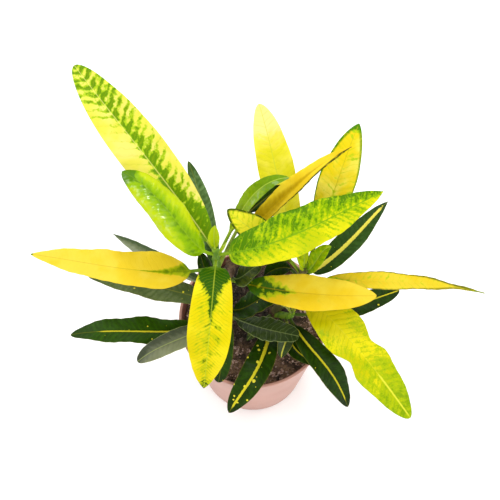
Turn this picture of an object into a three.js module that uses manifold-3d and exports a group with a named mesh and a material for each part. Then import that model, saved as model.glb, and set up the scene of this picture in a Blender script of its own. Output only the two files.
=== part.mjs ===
// Potted croton: two canes with three leafy shoots in a 12 cm nursery pot, in millimetres.
// The origin is the middle of the pot's underside, +Z points up, and -Y faces the viewer.
import * as THREE from "three";
import { mergeVertices } from "three/addons/utils/BufferGeometryUtils.js";
import Module from "manifold-3d";

const wasm = await Module();
wasm.setup();

// Driving dimensions of the pot and its filling
const GAP = 0.3;
const SMALLEST_EDGE = 0.03;
const RIM_RADIUS = 60;
const BASE_RADIUS = 44;
const POT_HEIGHT = 108;
const WALL = 1.5;
const FLOOR = 2;
const BAND_HEIGHT = 11;
const BAND_STEP = 1.2;
const EDGE = 1;
const FLOOR_FILLET = 3;
const POT_SIDES = 48;
const DRAIN_HOLES = 6;
const DRAIN_RADIUS = 4;
const DRAIN_CIRCLE = 28;
const SOIL_LEVEL = 97;
const SOIL_RELIEF = 1.1;
const SOIL_RINGS = 6;
const SOIL_SIDES = 32;

// Driving dimensions of the canes and leaves
const CANE_SIDES = 8;
const STEM_GAP = 0.33;
const CANE_DEPTH = 36;
const CANE_OVERLAP = 2;
const PETIOLE_RADIUS = 1.3;
const BLADE_THICKNESS = 0.8;
const MIDRIB_DEPTH = 0.7;
const TIP_HALF_WIDTH = 0.5;
const RING_SPACING = 7;
const CROWDING = 0.05;
const SUNK = 3;
const EDGE_WAVE = 1.4;
const WAVE_LENGTH = 34;
const WAVE_SHIFT = 0.07;
const FEWEST_WAVES = 1.2;
const WAVY_WIDTH = 24;
const STALK_SHARE = 0.12;
const WAIST_LENGTH = 0.07;

// Each cane or shoot is a tapered round bar through these points.
const CANES = {
  left_cane: { points: [[-24, 1, 94], [-23, 4, 130], [-20, 6, 160], [-17, 8, 188]], radii: [4, 3.6] },
  left_shoot: { points: [[-23, 4, 136], [-26, 4, 160], [-27, 5, 190], [-27, 5, 219]], radii: [3.4, 2.7] },
  right_cane: { points: [[16, 1, 94], [16, 2, 104], [17, 2, 116]], radii: [4.2, 4] },
  right_shoot: { points: [[17, 2, 113], [26, 4, 140], [33, 4, 166], [38, 3, 192]], radii: [3.8, 2.6] },
  front_shoot: { points: [[17, 2, 110], [23, -4, 121], [28, -9, 131], [30, -11, 142]], radii: [3.2, 2.2] },
};

// A leaf leaves its cane at height "at" and its midrib runs through two points to its tip.
// Width is across the open blade, fold and roll are degrees, and belly is where it is widest.
const LEAVES = [
  { name: "left_01", cane: "left_shoot", at: 214, via: [[-59, 44, 238], [-94, 84, 258]],
    tip: [-129, 127, 272], tone: "yellow", petiole: 8, width: 37, fold: 20, roll: 12, base: 0.4,
    point: 0.53 },
  { name: "left_02", cane: "left_shoot", at: 212, via: [[-44, 5, 236], [-63, 23, 254]],
    tip: [-92, 48, 256], tone: "lime", petiole: 12, width: 26, fold: 8, belly: 0.44, base: 0.36,
    point: 0.5 },
  { name: "left_03", cane: "left_shoot", at: 211, via: [[13, 9, 222], [50, 21, 233]],
    tip: [92, 41, 240], tone: "lime", petiole: 7, width: 37, fold: 14, belly: 0.42, base: 0.32,
    point: 0.8 },
  { name: "left_04", cane: "left_shoot", at: 190, via: [[-71, -4, 202], [-116, 1, 204]],
    tip: [-164, 13, 196], tone: "yellow", petiole: 18, width: 30, fold: 14, belly: 0.22, point: 0.72,
    waist: 0.1, waistAt: 0.46 },
  { name: "left_05", cane: "left_shoot", at: 206, via: [[-29, -29, 212], [-32, -58, 196]],
    tip: [-36, -80, 166], tone: "yellow", petiole: 8, width: 32, fold: 14, base: 0.25, point: 0.8 },
  { name: "left_06", cane: "left_cane", at: 166, via: [[16, -11, 186], [52, -17, 190]],
    tip: [90, -16, 186], tone: "yellow", petiole: 16, width: 28, fold: 14, roll: -6 },
  { name: "left_07", cane: "left_shoot", at: 162, via: [[-32, 28, 184], [-38, 52, 198]],
    tip: [-49, 83, 212], tone: "dark", petiole: 12, width: 14, fold: 10, base: 0.35 },
  { name: "left_08", cane: "left_shoot", at: 199, via: [[6, 39, 204], [36, 54, 236]],
    tip: [70, 72, 250], tone: "yellow", petiole: 26, width: 16, fold: 30, belly: 0.4, point: 0.9 },
  { name: "left_09", cane: "left_shoot", at: 152, via: [[-32, 0, 166], [-36, 6, 182]],
    tip: [-40, 14, 196], tone: "dark", petiole: 4, width: 17, fold: 10 },
  { name: "left_10", cane: "left_shoot", at: 205, via: [[-13, 40, 198], [2, 46, 231]],
    tip: [25, 50, 244], tone: "lime", petiole: 28, width: 13, fold: 18, point: 0.5 },
  { name: "left_11", cane: "left_cane", at: 150, via: [[-45, 12, 156], [-76, 27, 161]],
    tip: [-109, 47, 162], tone: "dark", petiole: 10, width: 12, fold: 12, point: 0.8 },
  { name: "left_12", cane: "left_cane", at: 134, via: [[-49, 2, 146], [-89, 11, 151]],
    tip: [-128, 16, 150], tone: "dark", petiole: 10, width: 24, fold: 10 },
  { name: "left_13", cane: "left_cane", at: 106, via: [[-56, -14, 112], [-100, -16, 116]],
    tip: [-146, -16, 108], tone: "dark", petiole: 10, width: 26, fold: 14, roll: -12 },
  { name: "left_14", cane: "left_cane", at: 116, via: [[-38, -17, 125], [-64, -30, 128]],
    tip: [-90, -43, 120], tone: "dark", petiole: 8, width: 18, fold: 8, belly: 0.58, point: 0.45 },
  { name: "left_15", cane: "left_cane", at: 130, via: [[-23, -25, 142], [-24, -45, 136]],
    tip: [-27, -59, 118], tone: "dark", petiole: 10, width: 17, fold: 10, point: 0.45 },
  { name: "left_16", cane: "left_cane", at: 108, via: [[2, -14, 122], [18, -23, 133]],
    tip: [35, -29, 138], tone: "dark", petiole: 8, width: 20, fold: 10, belly: 0.6, point: 0.35 },
  { name: "left_17", cane: "left_cane", at: 122, via: [[-8, -4, 134], [7, 0, 146]],
    tip: [24, 5, 150], tone: "dark", petiole: 6, width: 24, fold: 10 },
  { name: "left_18", cane: "left_cane", at: 170, via: [[-10, 2, 178], [-3, 4, 186]],
    tip: [6, 7, 190], tone: "dark", petiole: 4, width: 20, fold: 8 },
  { name: "left_19", cane: "left_shoot", at: 186, via: [[-8, 39, 199], [5, 51, 206]],
    tip: [20, 60, 216], tone: "dark", petiole: 46, width: 11, fold: 6 },
  { name: "right_01", cane: "right_shoot", at: 188, via: [[25, 46, 196], [15, 84, 214]],
    tip: [4, 117, 238], tone: "yellow", petiole: 16, width: 28, fold: 12, belly: 0.55, point: 0.52 },
  { name: "right_02", cane: "right_shoot", at: 190, via: [[51, 31, 212], [63, 61, 232]],
    tip: [77, 95, 245], tone: "yellow", petiole: 20, width: 28, fold: 12, point: 0.7 },
  { name: "right_03", cane: "right_shoot", at: 184, via: [[44, 2, 202], [49, 7, 210]],
    tip: [56, 11, 212], tone: "lime", petiole: 5, width: 13, fold: 16 },
  { name: "right_04", cane: "right_shoot", at: 176, via: [[61, 17, 186], [81, 35, 194]],
    tip: [101, 56, 198], tone: "dark", petiole: 7, width: 20, fold: 14, belly: 0.36, base: 0.35,
    point: 0.8 },
  { name: "right_05", cane: "right_shoot", at: 172, via: [[80, -3, 184], [128, -2, 177]],
    tip: [176, -2, 159], tone: "yellow", petiole: 16, width: 15, fold: 14, belly: 0.3, point: 1.2,
    waist: 0.2, waistAt: 0.8 },
  { name: "right_06", cane: "right_shoot", at: 180, via: [[20, 15, 196], [0, 26, 208]],
    tip: [-19, 38, 219], tone: "yellow", petiole: 12, width: 25, fold: 12 },
  { name: "right_07", cane: "right_shoot", at: 170, via: [[27, 10, 178], [18, 9, 180]],
    tip: [8, 4, 177], tone: "dark", petiole: 8, width: 14, fold: 10 },
  { name: "right_08", cane: "right_shoot", at: 158, via: [[60, -29, 166], [88, -57, 150]],
    tip: [119, -88, 120], tone: "lime", petiole: 12, width: 36, fold: 8, belly: 0.35,
    point: 0.52, waist: 0.28, waistAt: 0.47 },
  { name: "front_01", cane: "front_shoot", at: 138, via: [[59, -11, 144], [89, -2, 144]],
    tip: [115, 11, 135], tone: "dark", petiole: 10, width: 19, fold: 10 },
  { name: "front_02", cane: "front_shoot", at: 130, via: [[44, -36, 132], [60, -51, 118]],
    tip: [75, -69, 88], tone: "dark", petiole: 6, width: 21, fold: 12 },
  { name: "front_03", cane: "right_cane", at: 103, via: [[6, -42, 120], [-6, -63, 117]],
    tip: [-19, -77, 98], tone: "dark", petiole: 6, width: 22, fold: 10 },
  { name: "front_04", cane: "front_shoot", at: 117, via: [[31, -28, 116], [39, -38, 119]],
    tip: [47, -45, 117], tone: "dark", petiole: 6, width: 14, fold: 10 },
  { name: "front_05", cane: "front_shoot", at: 124, via: [[27, -21, 125], [24, -31, 122]],
    tip: [22, -38, 116], tone: "dark", petiole: 4, width: 12, fold: 10 },
  { name: "front_06", cane: "right_cane", at: 112, via: [[8, -7, 116], [2, -15, 117]],
    tip: [-5, -23, 115], tone: "lime", petiole: 4, width: 9, fold: 10 },
];

// Young leaves that have not opened yet, grown together with the end of their shoot
const BUDS = [
  { cane: "left_shoot", at: 214, via: [[-28, 8, 226], [-28, 10, 234]], tip: [-27, 12, 243], width: 9 },
  { cane: "left_shoot", at: 213, via: [[-23, 3, 222], [-21, 2, 229]], tip: [-19, 3, 235], width: 5 },
  { cane: "right_shoot", at: 189, via: [[37, 7, 199], [37, 11, 206]], tip: [38, 15, 213], width: 7 },
  { cane: "right_shoot", at: 188, via: [[35, 1, 198], [33, 2, 204]], tip: [31, 5, 210], width: 6 },
  { cane: "front_shoot", at: 140, via: [[28, -12, 148], [25, -12, 155]], tip: [21, -13, 161], width: 6 },
  { cane: "front_shoot", at: 140, via: [[31, -11, 149], [31, -10, 156]], tip: [31, -9, 163], width: 6 },
];

const TONES = {
  pot: { color: 0xc9826c, roughness: 0.45 },
  soil: { color: 0x35241b, roughness: 1 },
  cane: { color: 0x6f7a3a, roughness: 0.7 },
  yellow: { color: 0xefd92e, roughness: 0.4 },
  lime: { color: 0x9fc52a, roughness: 0.35 },
  dark: { color: 0x24451c, roughness: 0.35 },
};

const UP = new THREE.Vector3(0, 0, 1);
const radians = THREE.MathUtils.degToRad;
const clamp01 = (value) => THREE.MathUtils.clamp(value, 0, 1);

// Solids from closed meshes, and back
function toSolid(geometry) {
  const plain = geometry.clone();
  plain.deleteAttribute("normal");
  plain.deleteAttribute("uv");
  const merged = mergeVertices(plain, 1e-4);
  const vertProperties = new Float32Array(merged.attributes.position.array);
  const triVerts = new Uint32Array(merged.index.array);
  return new wasm.Manifold(new wasm.Mesh({ numProp: 3, vertProperties, triVerts }));
}

function toGeometry(solid) {
  const mesh = solid.simplify(SMALLEST_EDGE).getMesh();
  const geometry = new THREE.BufferGeometry();
  geometry.setAttribute("position", new THREE.BufferAttribute(mesh.vertProperties, 3));
  geometry.setIndex(new THREE.BufferAttribute(mesh.triVerts, 1));
  geometry.computeVertexNormals();
  return geometry;
}

function largestPiece(solid) {
  const pieces = solid.decompose();
  return pieces.reduce((best, piece) => (piece.volume() > best.volume() ? piece : best));
}

// A closed skin over rings of equal length. Faces with index j and its mirror are split alike,
// so that a thin blade has the same creases on its upper and lower side.
function loft(rings) {
  const count = rings[0].length;
  const half = count / 2;
  const vertices = rings.flat().flatMap((point) => point.toArray());
  const faces = [];
  for (let i = 0; i + 1 < rings.length; i++) {
    for (let j = 0; j < count; j++) {
      const a = i * count + j;
      const b = i * count + ((j + 1) % count);
      const c = b + count;
      const d = a + count;
      if (j < half) {
        faces.push(a, c, b, a, d, c);
      } else {
        faces.push(a, d, b, b, d, c);
      }
    }
  }
  [0, rings.length - 1].forEach((end) => {
    const centre = rings[end].reduce((sum, point) => sum.add(point), new THREE.Vector3());
    const hub = vertices.length / 3;
    vertices.push(...centre.divideScalar(count).toArray());
    for (let j = 0; j < count; j++) {
      const a = end * count + j;
      const b = end * count + ((j + 1) % count);
      faces.push(...(end === 0 ? [hub, a, b] : [hub, b, a]));
    }
  });
  const geometry = new THREE.BufferGeometry();
  geometry.setAttribute("position", new THREE.Float32BufferAttribute(vertices, 3));
  geometry.setIndex(faces);
  const solid = toSolid(geometry);
  return solid.volume() > 0 ? solid : toSolid(flipped(geometry));
}

function flipped(geometry) {
  const turned = geometry.clone();
  turned.setIndex(Array.from(geometry.index.array).reverse());
  return turned;
}

// Pot and soil
function potInnerRadius(z) {
  const top = RIM_RADIUS - BAND_STEP - WALL;
  return THREE.MathUtils.mapLinear(z, 0, POT_HEIGHT, BASE_RADIUS - WALL, top);
}

function makePot() {
  const bandFoot = POT_HEIGHT - BAND_HEIGHT;
  const outer = (z) => potInnerRadius(z) + WALL;
  const profile = [
    [0, 0],
    [BASE_RADIUS - EDGE, 0],
    [BASE_RADIUS, EDGE],
    [outer(bandFoot), bandFoot],
    [outer(bandFoot) + BAND_STEP, bandFoot + EDGE],
    [RIM_RADIUS, POT_HEIGHT - EDGE],
    [RIM_RADIUS - EDGE / 2, POT_HEIGHT],
    [potInnerRadius(POT_HEIGHT) + EDGE / 2, POT_HEIGHT],
    [potInnerRadius(POT_HEIGHT - EDGE), POT_HEIGHT - EDGE],
    [potInnerRadius(FLOOR + FLOOR_FILLET), FLOOR + FLOOR_FILLET],
    [potInnerRadius(FLOOR) - FLOOR_FILLET, FLOOR],
    [0, FLOOR],
  ];
  const points = profile.map(([radius, z]) => new THREE.Vector2(radius, z));
  let pot = toSolid(new THREE.LatheGeometry(points, POT_SIDES).rotateX(Math.PI / 2));
  for (let hole = 0; hole < DRAIN_HOLES; hole++) {
    const angle = (2 * Math.PI * (hole + 0.5)) / DRAIN_HOLES;
    const drill = new THREE.CylinderGeometry(DRAIN_RADIUS, DRAIN_RADIUS, 4 * FLOOR, 12);
    drill.rotateX(Math.PI / 2);
    drill.translate(DRAIN_CIRCLE * Math.cos(angle), DRAIN_CIRCLE * Math.sin(angle), 0);
    pot = pot.subtract(toSolid(drill));
  }
  return pot;
}

function soilHeight(x, y) {
  const broad = Math.sin(x * 0.11 + 1) * Math.cos(y * 0.09);
  const fine = Math.sin(x * 0.43) * Math.sin(y * 0.37 + 2);
  return SOIL_LEVEL + SOIL_RELIEF * (broad + 0.6 * fine);
}

function makeSoil() {
  const foot = FLOOR + GAP;
  const ring = (radius, height) => {
    const points = [];
    for (let k = 0; k < SOIL_SIDES; k++) {
      const angle = (2 * Math.PI * k) / SOIL_SIDES;
      const x = radius * Math.cos(angle);
      const y = radius * Math.sin(angle);
      points.push(new THREE.Vector3(x, y, height ?? soilHeight(x, y)));
    }
    return points;
  };
  const flatOfFacet = Math.cos(Math.PI / POT_SIDES);
  const innerRadius = (z) => (potInnerRadius(z) - GAP) * flatOfFacet;
  const rings = [
    ring(DRAIN_CIRCLE / 2, foot),
    ring(innerRadius(foot) - FLOOR_FILLET, foot),
    ring(innerRadius(foot + FLOOR_FILLET), foot + FLOOR_FILLET),
  ];
  const edge = innerRadius(SOIL_LEVEL - 2 * SOIL_RELIEF);
  for (let k = SOIL_RINGS; k > 0; k--) {
    rings.push(ring((edge * k) / SOIL_RINGS));
  }
  return loft(rings);
}

// Canes and shoots
function caneRadius(cane, z) {
  const bottom = cane.points[0][2];
  const top = cane.points[cane.points.length - 1][2];
  return THREE.MathUtils.mapLinear(z, bottom, top, cane.radii[0], cane.radii[1]);
}

function canePoint(cane, z) {
  const points = cane.points.map((point) => new THREE.Vector3(...point));
  const upper = Math.max(1, points.findIndex((point) => point.z >= z));
  const lower = upper - 1;
  const share = (z - points[lower].z) / (points[upper].z - points[lower].z);
  return points[lower].clone().lerp(points[upper], share);
}

function makeCane(cane, extra = 0) {
  const path = cane.points.map((point) => new THREE.Vector3(...point));
  const rings = path.map((point, k) => {
    const ahead = path[Math.min(k + 1, path.length - 1)];
    const behind = path[Math.max(k - 1, 0)];
    const along = ahead.clone().sub(behind).normalize();
    const across = new THREE.Vector3(1, 0, 0).projectOnPlane(along).normalize();
    const forward = new THREE.Vector3().crossVectors(along, across);
    const radius = caneRadius(cane, point.z) + extra;
    const ring = [];
    for (let side = 0; side < CANE_SIDES; side++) {
      const angle = (2 * Math.PI * side) / CANE_SIDES;
      const offset = across.clone().multiplyScalar(radius * Math.cos(angle));
      ring.push(point.clone().add(offset).addScaledVector(forward, radius * Math.sin(angle)));
    }
    return ring;
  });
  return loft(rings);
}

function rootEnd(cane, extra = 0) {
  const [x, y, z] = cane.points[0];
  const radius = cane.radii[0] + extra;
  const root = new THREE.CylinderGeometry(radius, radius * 0.9, CANE_DEPTH + extra, CANE_SIDES);
  root.rotateX(Math.PI / 2);
  root.rotateZ(Math.PI / CANE_SIDES / 2);
  const top = z + CANE_OVERLAP;
  return toSolid(root.translate(x, y, top - (CANE_DEPTH + extra) / 2));
}

// Leaf blade: middle line, half width and cross-section
function midrib(leaf) {
  const cane = CANES[leaf.cane];
  const axis = canePoint(cane, leaf.at);
  const [first, second] = leaf.via.map((point) => new THREE.Vector3(...point));
  const tip = new THREE.Vector3(...leaf.tip);
  const outward = first.clone().sub(axis).normalize();
  const base = axis.clone().addScaledVector(outward, caneRadius(cane, leaf.at));
  const at = (t) => {
    const third = 1 / 3;
    const weights = [
      ((t - third) * (t - 2 * third) * (t - 1)) / (-2 / 9),
      (t * (t - 2 * third) * (t - 1)) / (2 / 27),
      (t * (t - third) * (t - 1)) / (-2 / 27),
      (t * (t - third) * (t - 2 * third)) / (2 / 9),
    ];
    const point = new THREE.Vector3();
    [base, first, second, tip].forEach((knot, k) => point.addScaledVector(knot, weights[k]));
    return point;
  };
  const steps = 200;
  const lengths = [0];
  for (let k = 1; k <= steps; k++) {
    lengths.push(lengths[k - 1] + at(k / steps).distanceTo(at((k - 1) / steps)));
  }
  const total = lengths[steps];
  const atLength = (length) => {
    const k = Math.max(1, lengths.findIndex((value) => value >= length - 1e-9));
    const share = (length - lengths[k - 1]) / (lengths[k] - lengths[k - 1]);
    return at((k - 1 + share) / steps);
  };
  return { axis, tip, total, atLength };
}

function halfWidth(leaf, share) {
  const belly = leaf.belly ?? 0.5;
  const rise = Math.sin((Math.PI / 2) * clamp01(share / belly)) ** (leaf.base ?? 0.6);
  const fall = Math.sin((Math.PI / 2) * clamp01((1 - share) / (1 - belly))) ** (leaf.point ?? 0.6);
  const offset = (share - (leaf.waistAt ?? 0.5)) / WAIST_LENGTH;
  const waist = 1 - (leaf.waist ?? 0) * Math.exp(-offset * offset);
  return (leaf.width / 2) * (share < belly ? rise : fall) * waist;
}

function edgeWave(leaf, share, side, blade) {
  const turns = Math.max(FEWEST_WAVES, blade / WAVE_LENGTH);
  const phase = leaf.tip[0] * WAVE_SHIFT + (side > 0 ? 2 : 0);
  const height = EDGE_WAVE * Math.min(1, leaf.width / WAVY_WIDTH);
  const fade = Math.sin(Math.PI * clamp01(share)) ** 0.7;
  return height * fade * Math.sin(2 * Math.PI * turns * share + phase);
}

function leafSection(leaf, line, length) {
  const step = 0.5;
  const onLine = Math.max(length, 0);
  const ahead = line.atLength(Math.min(onLine + step, line.total));
  const behind = line.atLength(Math.max(onLine - step, 0));
  const along = ahead.sub(behind).normalize();
  const heading = line.tip.clone().sub(line.axis);
  const side = new THREE.Vector3(heading.y, -heading.x, 0).normalize();
  const right = side.projectOnPlane(along).normalize();
  const normal = new THREE.Vector3().crossVectors(right, along);
  const roll = radians(leaf.roll ?? 0);
  const acrossBlade = right.clone().multiplyScalar(Math.cos(roll)).addScaledVector(normal, Math.sin(roll));
  const upBlade = normal.clone().multiplyScalar(Math.cos(roll)).addScaledVector(right, -Math.sin(roll));
  const blade = line.total - leaf.petiole;
  const share = (length - leaf.petiole) / blade;
  const half = share > 0 ? Math.max(halfWidth(leaf, share), TIP_HALF_WIDTH) : 0;
  const stalkRadius = Math.min(PETIOLE_RADIUS, leaf.width * STALK_SHARE);
  const opened = clamp01((half - stalkRadius) / (leaf.width * STALK_SHARE));
  const sheetShare = share > 0.5 ? 1 : opened;
  const fold = radians(leaf.fold);
  const centre = line.atLength(onLine).addScaledVector(along, length - onLine);
  const place = (v, face) => {
    const angle = Math.acos(v);
    const stalk = new THREE.Vector2(v, face * Math.sin(angle)).multiplyScalar(stalkRadius);
    const edge = edgeWave(leaf, share, v, blade) * v * v;
    const rib = face < 0 && v === 0 ? -MIDRIB_DEPTH : 0;
    const lift = Math.abs(v) * half * Math.sin(fold) + edge + (face * BLADE_THICKNESS) / 2 + rib;
    const sheet = new THREE.Vector2(v * half * Math.cos(fold), lift);
    const mixed = stalk.lerp(sheet, sheetShare);
    return centre.clone().addScaledVector(acrossBlade, mixed.x).addScaledVector(upBlade, mixed.y);
  };
  const ACROSS = [-1, -0.5, 0, 0.5, 1];
  return [...ACROSS.map((v) => place(v, 1)), ...ACROSS.toReversed().map((v) => place(v, -1))];
}

function makeLeaf(leaf) {
  const line = midrib(leaf);
  const blade = line.total - leaf.petiole;
  const steps = leaf.steps ?? Math.round(THREE.MathUtils.clamp(blade / RING_SPACING, 7, 17));
  const lengths = [-SUNK, 0, leaf.petiole / 2];
  for (let k = 0; k <= steps; k++) {
    const even = k / steps;
    const share = even - CROWDING * Math.sin(2 * Math.PI * even);
    lengths.push(leaf.petiole + blade * share);
  }
  return loft(lengths.map((length) => leafSection(leaf, line, length)));
}

// Assembly
const group = new THREE.Group();

function addPart(name, solid, tone) {
  const material = new THREE.MeshStandardMaterial({ ...TONES[tone], metalness: 0 });
  const mesh = new THREE.Mesh(toGeometry(solid), material);
  mesh.name = name;
  group.add(mesh);
}

function joinedCanes(names, extra) {
  const bars = names.map((name) => makeCane(CANES[name], extra));
  return [...bars.slice(1), rootEnd(CANES[names[0]], extra)].reduce((sum, bar) => sum.add(bar), bars[0]);
}

function budsOf(names) {
  const rows = BUDS.filter((bud) => names.includes(bud.cane));
  return rows.map((bud) => makeLeaf({ ...bud, petiole: 3, fold: 25, steps: 5 }));
}

const STEMS = {
  stem_left: ["left_cane", "left_shoot"],
  stem_right: ["right_cane", "right_shoot", "front_shoot"],
};
const cleared = {};
Object.entries(STEMS).forEach(([name, canes]) => {
  const stem = budsOf(canes).reduce((sum, bud) => sum.add(bud), joinedCanes(canes, 0));
  const grown = budsOf(canes).reduce((sum, bud) => sum.add(bud), joinedCanes(canes, STEM_GAP));
  cleared[name] = largestPiece(grown);
  addPart(name, largestPiece(stem), "cane");
});

addPart("pot", makePot(), "pot");
const planted = Object.values(cleared).reduce((soil, stem) => soil.subtract(stem), makeSoil());
addPart("soil", planted, "soil");

LEAVES.forEach((leaf) => {
  const [stem] = Object.entries(STEMS).find(([, canes]) => canes.includes(leaf.cane));
  addPart(`leaf_${leaf.name}`, largestPiece(makeLeaf(leaf).subtract(cleared[stem])), leaf.tone);
});

export default group;
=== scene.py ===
# %% [markdown]
# # A potted croton
# The part is a young croton in a thin plastic nursery pot: two canes, three leafy shoots and 33 long
# leaves, marbled yellow and green. Its solids come from the CAD frame. This lesson dresses them: every
# leaf, cane, crumb of soil and the pot is made again with finer curves, in the same place and size.

# %% Load the solids as a fixed frame
import math
from functools import partial, partialmethod

import bpy
import numpy as np
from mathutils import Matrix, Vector


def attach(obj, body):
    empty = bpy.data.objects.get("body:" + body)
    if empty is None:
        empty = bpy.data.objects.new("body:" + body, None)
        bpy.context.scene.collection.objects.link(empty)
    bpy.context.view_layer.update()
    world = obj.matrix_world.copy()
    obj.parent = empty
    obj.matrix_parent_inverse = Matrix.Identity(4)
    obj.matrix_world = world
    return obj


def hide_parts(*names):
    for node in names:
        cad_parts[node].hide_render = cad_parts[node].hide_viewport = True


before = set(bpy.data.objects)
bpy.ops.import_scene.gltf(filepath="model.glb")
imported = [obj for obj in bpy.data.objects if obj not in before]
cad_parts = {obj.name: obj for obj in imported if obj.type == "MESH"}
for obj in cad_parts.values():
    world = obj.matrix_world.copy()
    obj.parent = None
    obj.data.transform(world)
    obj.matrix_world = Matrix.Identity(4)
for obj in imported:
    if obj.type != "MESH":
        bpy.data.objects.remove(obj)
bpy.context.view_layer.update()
MM = 0.001

# %% [markdown]
# ## Camera, floor and light
# The photograph looks down on the plant from high in front, on a white table in bright, even light.
# A camera could be turned until it looks right, but here its place was worked out from the ellipse of
# the pot's rim, so every leaf can be checked against the picture. The light is a white sky and two
# large soft lamps, at the upper left and in front. Two small lamps behind and beside the plant give
# the shiny leaves their small broken highlights.

# %% Camera
CAMERA_PLACE = Vector((-2.6, -323.6, 884)) * MM
CAMERA_DOWN = 63.7
CAMERA_LENS = 74.9
SENSOR_WIDTH = 36


def add_object(name, data):
    """A new object in the scene."""
    made = bpy.data.objects.new(name, data)
    bpy.context.collection.objects.link(made)
    return made


camera = add_object("camera", bpy.data.cameras.new("camera"))
camera.data.lens = CAMERA_LENS
camera.data.sensor_width = SENSOR_WIDTH
camera.location = CAMERA_PLACE
camera.rotation_euler = (math.radians(90 - CAMERA_DOWN), 0, 0)
bpy.context.scene.camera = camera

# %% Helpers for node trees
SCENE_LIGHT = 1.36


def feed(tree, node, key, value):
    """Joins a socket to an input, or sets the input to a plain value."""
    value = getattr(value, "socket", value)
    if isinstance(value, bpy.types.NodeSocket):
        tree.links.new(value, node.inputs[key])
    else:
        node.inputs[key].default_value = value


def add_node(tree, kind, values=None, **settings):
    """Adds one node, with its settings and the values of its inputs."""
    node = tree.nodes.new(kind)
    for name, setting in settings.items():
        setattr(node, name, setting)
    for key, value in (values or {}).items():
        feed(tree, node, key, value)
    return node


def math_node(tree, operation, *values):
    """One step of arithmetic."""
    node = add_node(tree, "ShaderNodeMath", dict(enumerate(values)), operation=operation)
    return Number(tree, node.outputs[0])


class Number:
    """A number in a node tree, so that a rule can be written down as a sum."""

    def __init__(self, tree, socket):
        self.tree = tree
        self.socket = socket

    def calc(self, operation, *others):
        return math_node(self.tree, operation, self, *others)

    def __rsub__(self, other):
        return math_node(self.tree, "SUBTRACT", other, self)

    __add__ = partialmethod(calc, "ADD")
    __sub__ = partialmethod(calc, "SUBTRACT")
    __mul__ = partialmethod(calc, "MULTIPLY")
    __truediv__ = partialmethod(calc, "DIVIDE")
    __pow__ = partialmethod(calc, "POWER")
    sin = partialmethod(calc, "SINE")
    cos = partialmethod(calc, "COSINE")
    exp = partialmethod(calc, "EXPONENT")
    abs = partialmethod(calc, "ABSOLUTE")
    sign = partialmethod(calc, "SIGN")
    floor = partialmethod(calc, "FLOOR")
    fract = partialmethod(calc, "FRACT")
    least = partialmethod(calc, "MINIMUM")
    most = partialmethod(calc, "MAXIMUM")
    above = partialmethod(calc, "GREATER_THAN")
    below = partialmethod(calc, "LESS_THAN")

    def clipped(self):
        """This number, kept between zero and one."""
        return self.most(0.0).least(1.0)

    def bell(self, width):
        """One at zero and falling smoothly away on both sides."""
        scaled = self / width
        return (scaled * scaled * -1.0).exp()

    def ramp(self, low, high, start=0.0, end=1.0):
        """Runs smoothly from start to end while this number goes from low to high."""
        values = {"Value": self, "From Min": low, "From Max": high, "To Min": start, "To Max": end}
        node = add_node(self.tree, "ShaderNodeMapRange", values, interpolation_type="SMOOTHSTEP")
        return Number(self.tree, node.outputs["Result"])


def vector_calc(tree, operation, *values, **named):
    """One step of vector arithmetic."""
    inputs = {**dict(enumerate(values)), **named}
    return add_node(tree, "ShaderNodeVectorMath", inputs, operation=operation).outputs[0]


def point_at(tree, x, y, z):
    """A vector from its three parts."""
    return add_node(tree, "ShaderNodeCombineXYZ", {0: x, 1: y, 2: z}).outputs[0]


def noise(tree, place, scale, detail=2.0):
    """Smooth random values round 0.5."""
    values = {"Vector": place, "Scale": scale, "Detail": detail}
    return Number(tree, add_node(tree, "ShaderNodeTexNoise", values).outputs[0])


def stored_value(tree, label):
    """A number that the mesh stores at each of its points."""
    return Number(tree, add_node(tree, "ShaderNodeAttribute", attribute_name=label).outputs["Fac"])


def blend_colour(tree, share, first, second):
    """Goes from the first colour to the second as share goes from 0 to 1."""
    # The colour mode of this node has its share at input 0 and its two colours at 6 and 7
    node = add_node(tree, "ShaderNodeMix", {0: share, 6: first, 7: second}, data_type="RGBA")
    return node.outputs[2]


def from_rgb(red, green, blue):
    """The surface colour that looks like this screen colour, from 0 to 255, in the scene's light."""
    parts = [value / 255 for value in (red, green, blue)]
    light = [value / 12.92 if value < 0.04 else ((value + 0.055) / 1.055) ** 2.4 for value in parts]
    return (*(value / SCENE_LIGHT for value in light), 1.0)


def new_group(name, kind, inputs, outputs):
    """An empty node group, a reader for its inputs and its output node.

    Each input is given by the word for its kind, or as a plain number by its default.
    """
    group = bpy.data.node_groups.new(name, kind)
    for label, value in inputs.items():
        word = value if isinstance(value, str) else "Float"
        made = group.interface.new_socket(label, in_out="INPUT", socket_type="NodeSocket" + word)
        if word != value:
            made.default_value = value
    for label, word in outputs.items():
        group.interface.new_socket(label, in_out="OUTPUT", socket_type="NodeSocket" + word)
    group_input = group.nodes.new("NodeGroupInput")

    def read(label):
        return Number(group, group_input.outputs[label])

    return group, read, group.nodes.new("NodeGroupOutput")


def new_material(name, gloss):
    """A material with one Principled shader, whose sockets the caller feeds."""
    material = bpy.data.materials.new(name)
    material.use_nodes = True
    tree = material.node_tree
    shader = tree.nodes["Principled BSDF"]
    shader.inputs["Specular IOR Level"].default_value = gloss
    return material, tree, shader


def feed_shader(tree, shader, colour, roughness, height, strength, depth):
    """Gives a shader its colour, its roughness and a bump of this strength and depth."""
    bump = add_node(tree, "ShaderNodeBump", {"Height": height, "Strength": strength, "Distance": depth})
    feed(tree, shader, "Base Color", colour)
    feed(tree, shader, "Roughness", roughness)
    feed(tree, shader, "Normal", bump.outputs[0])


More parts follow.
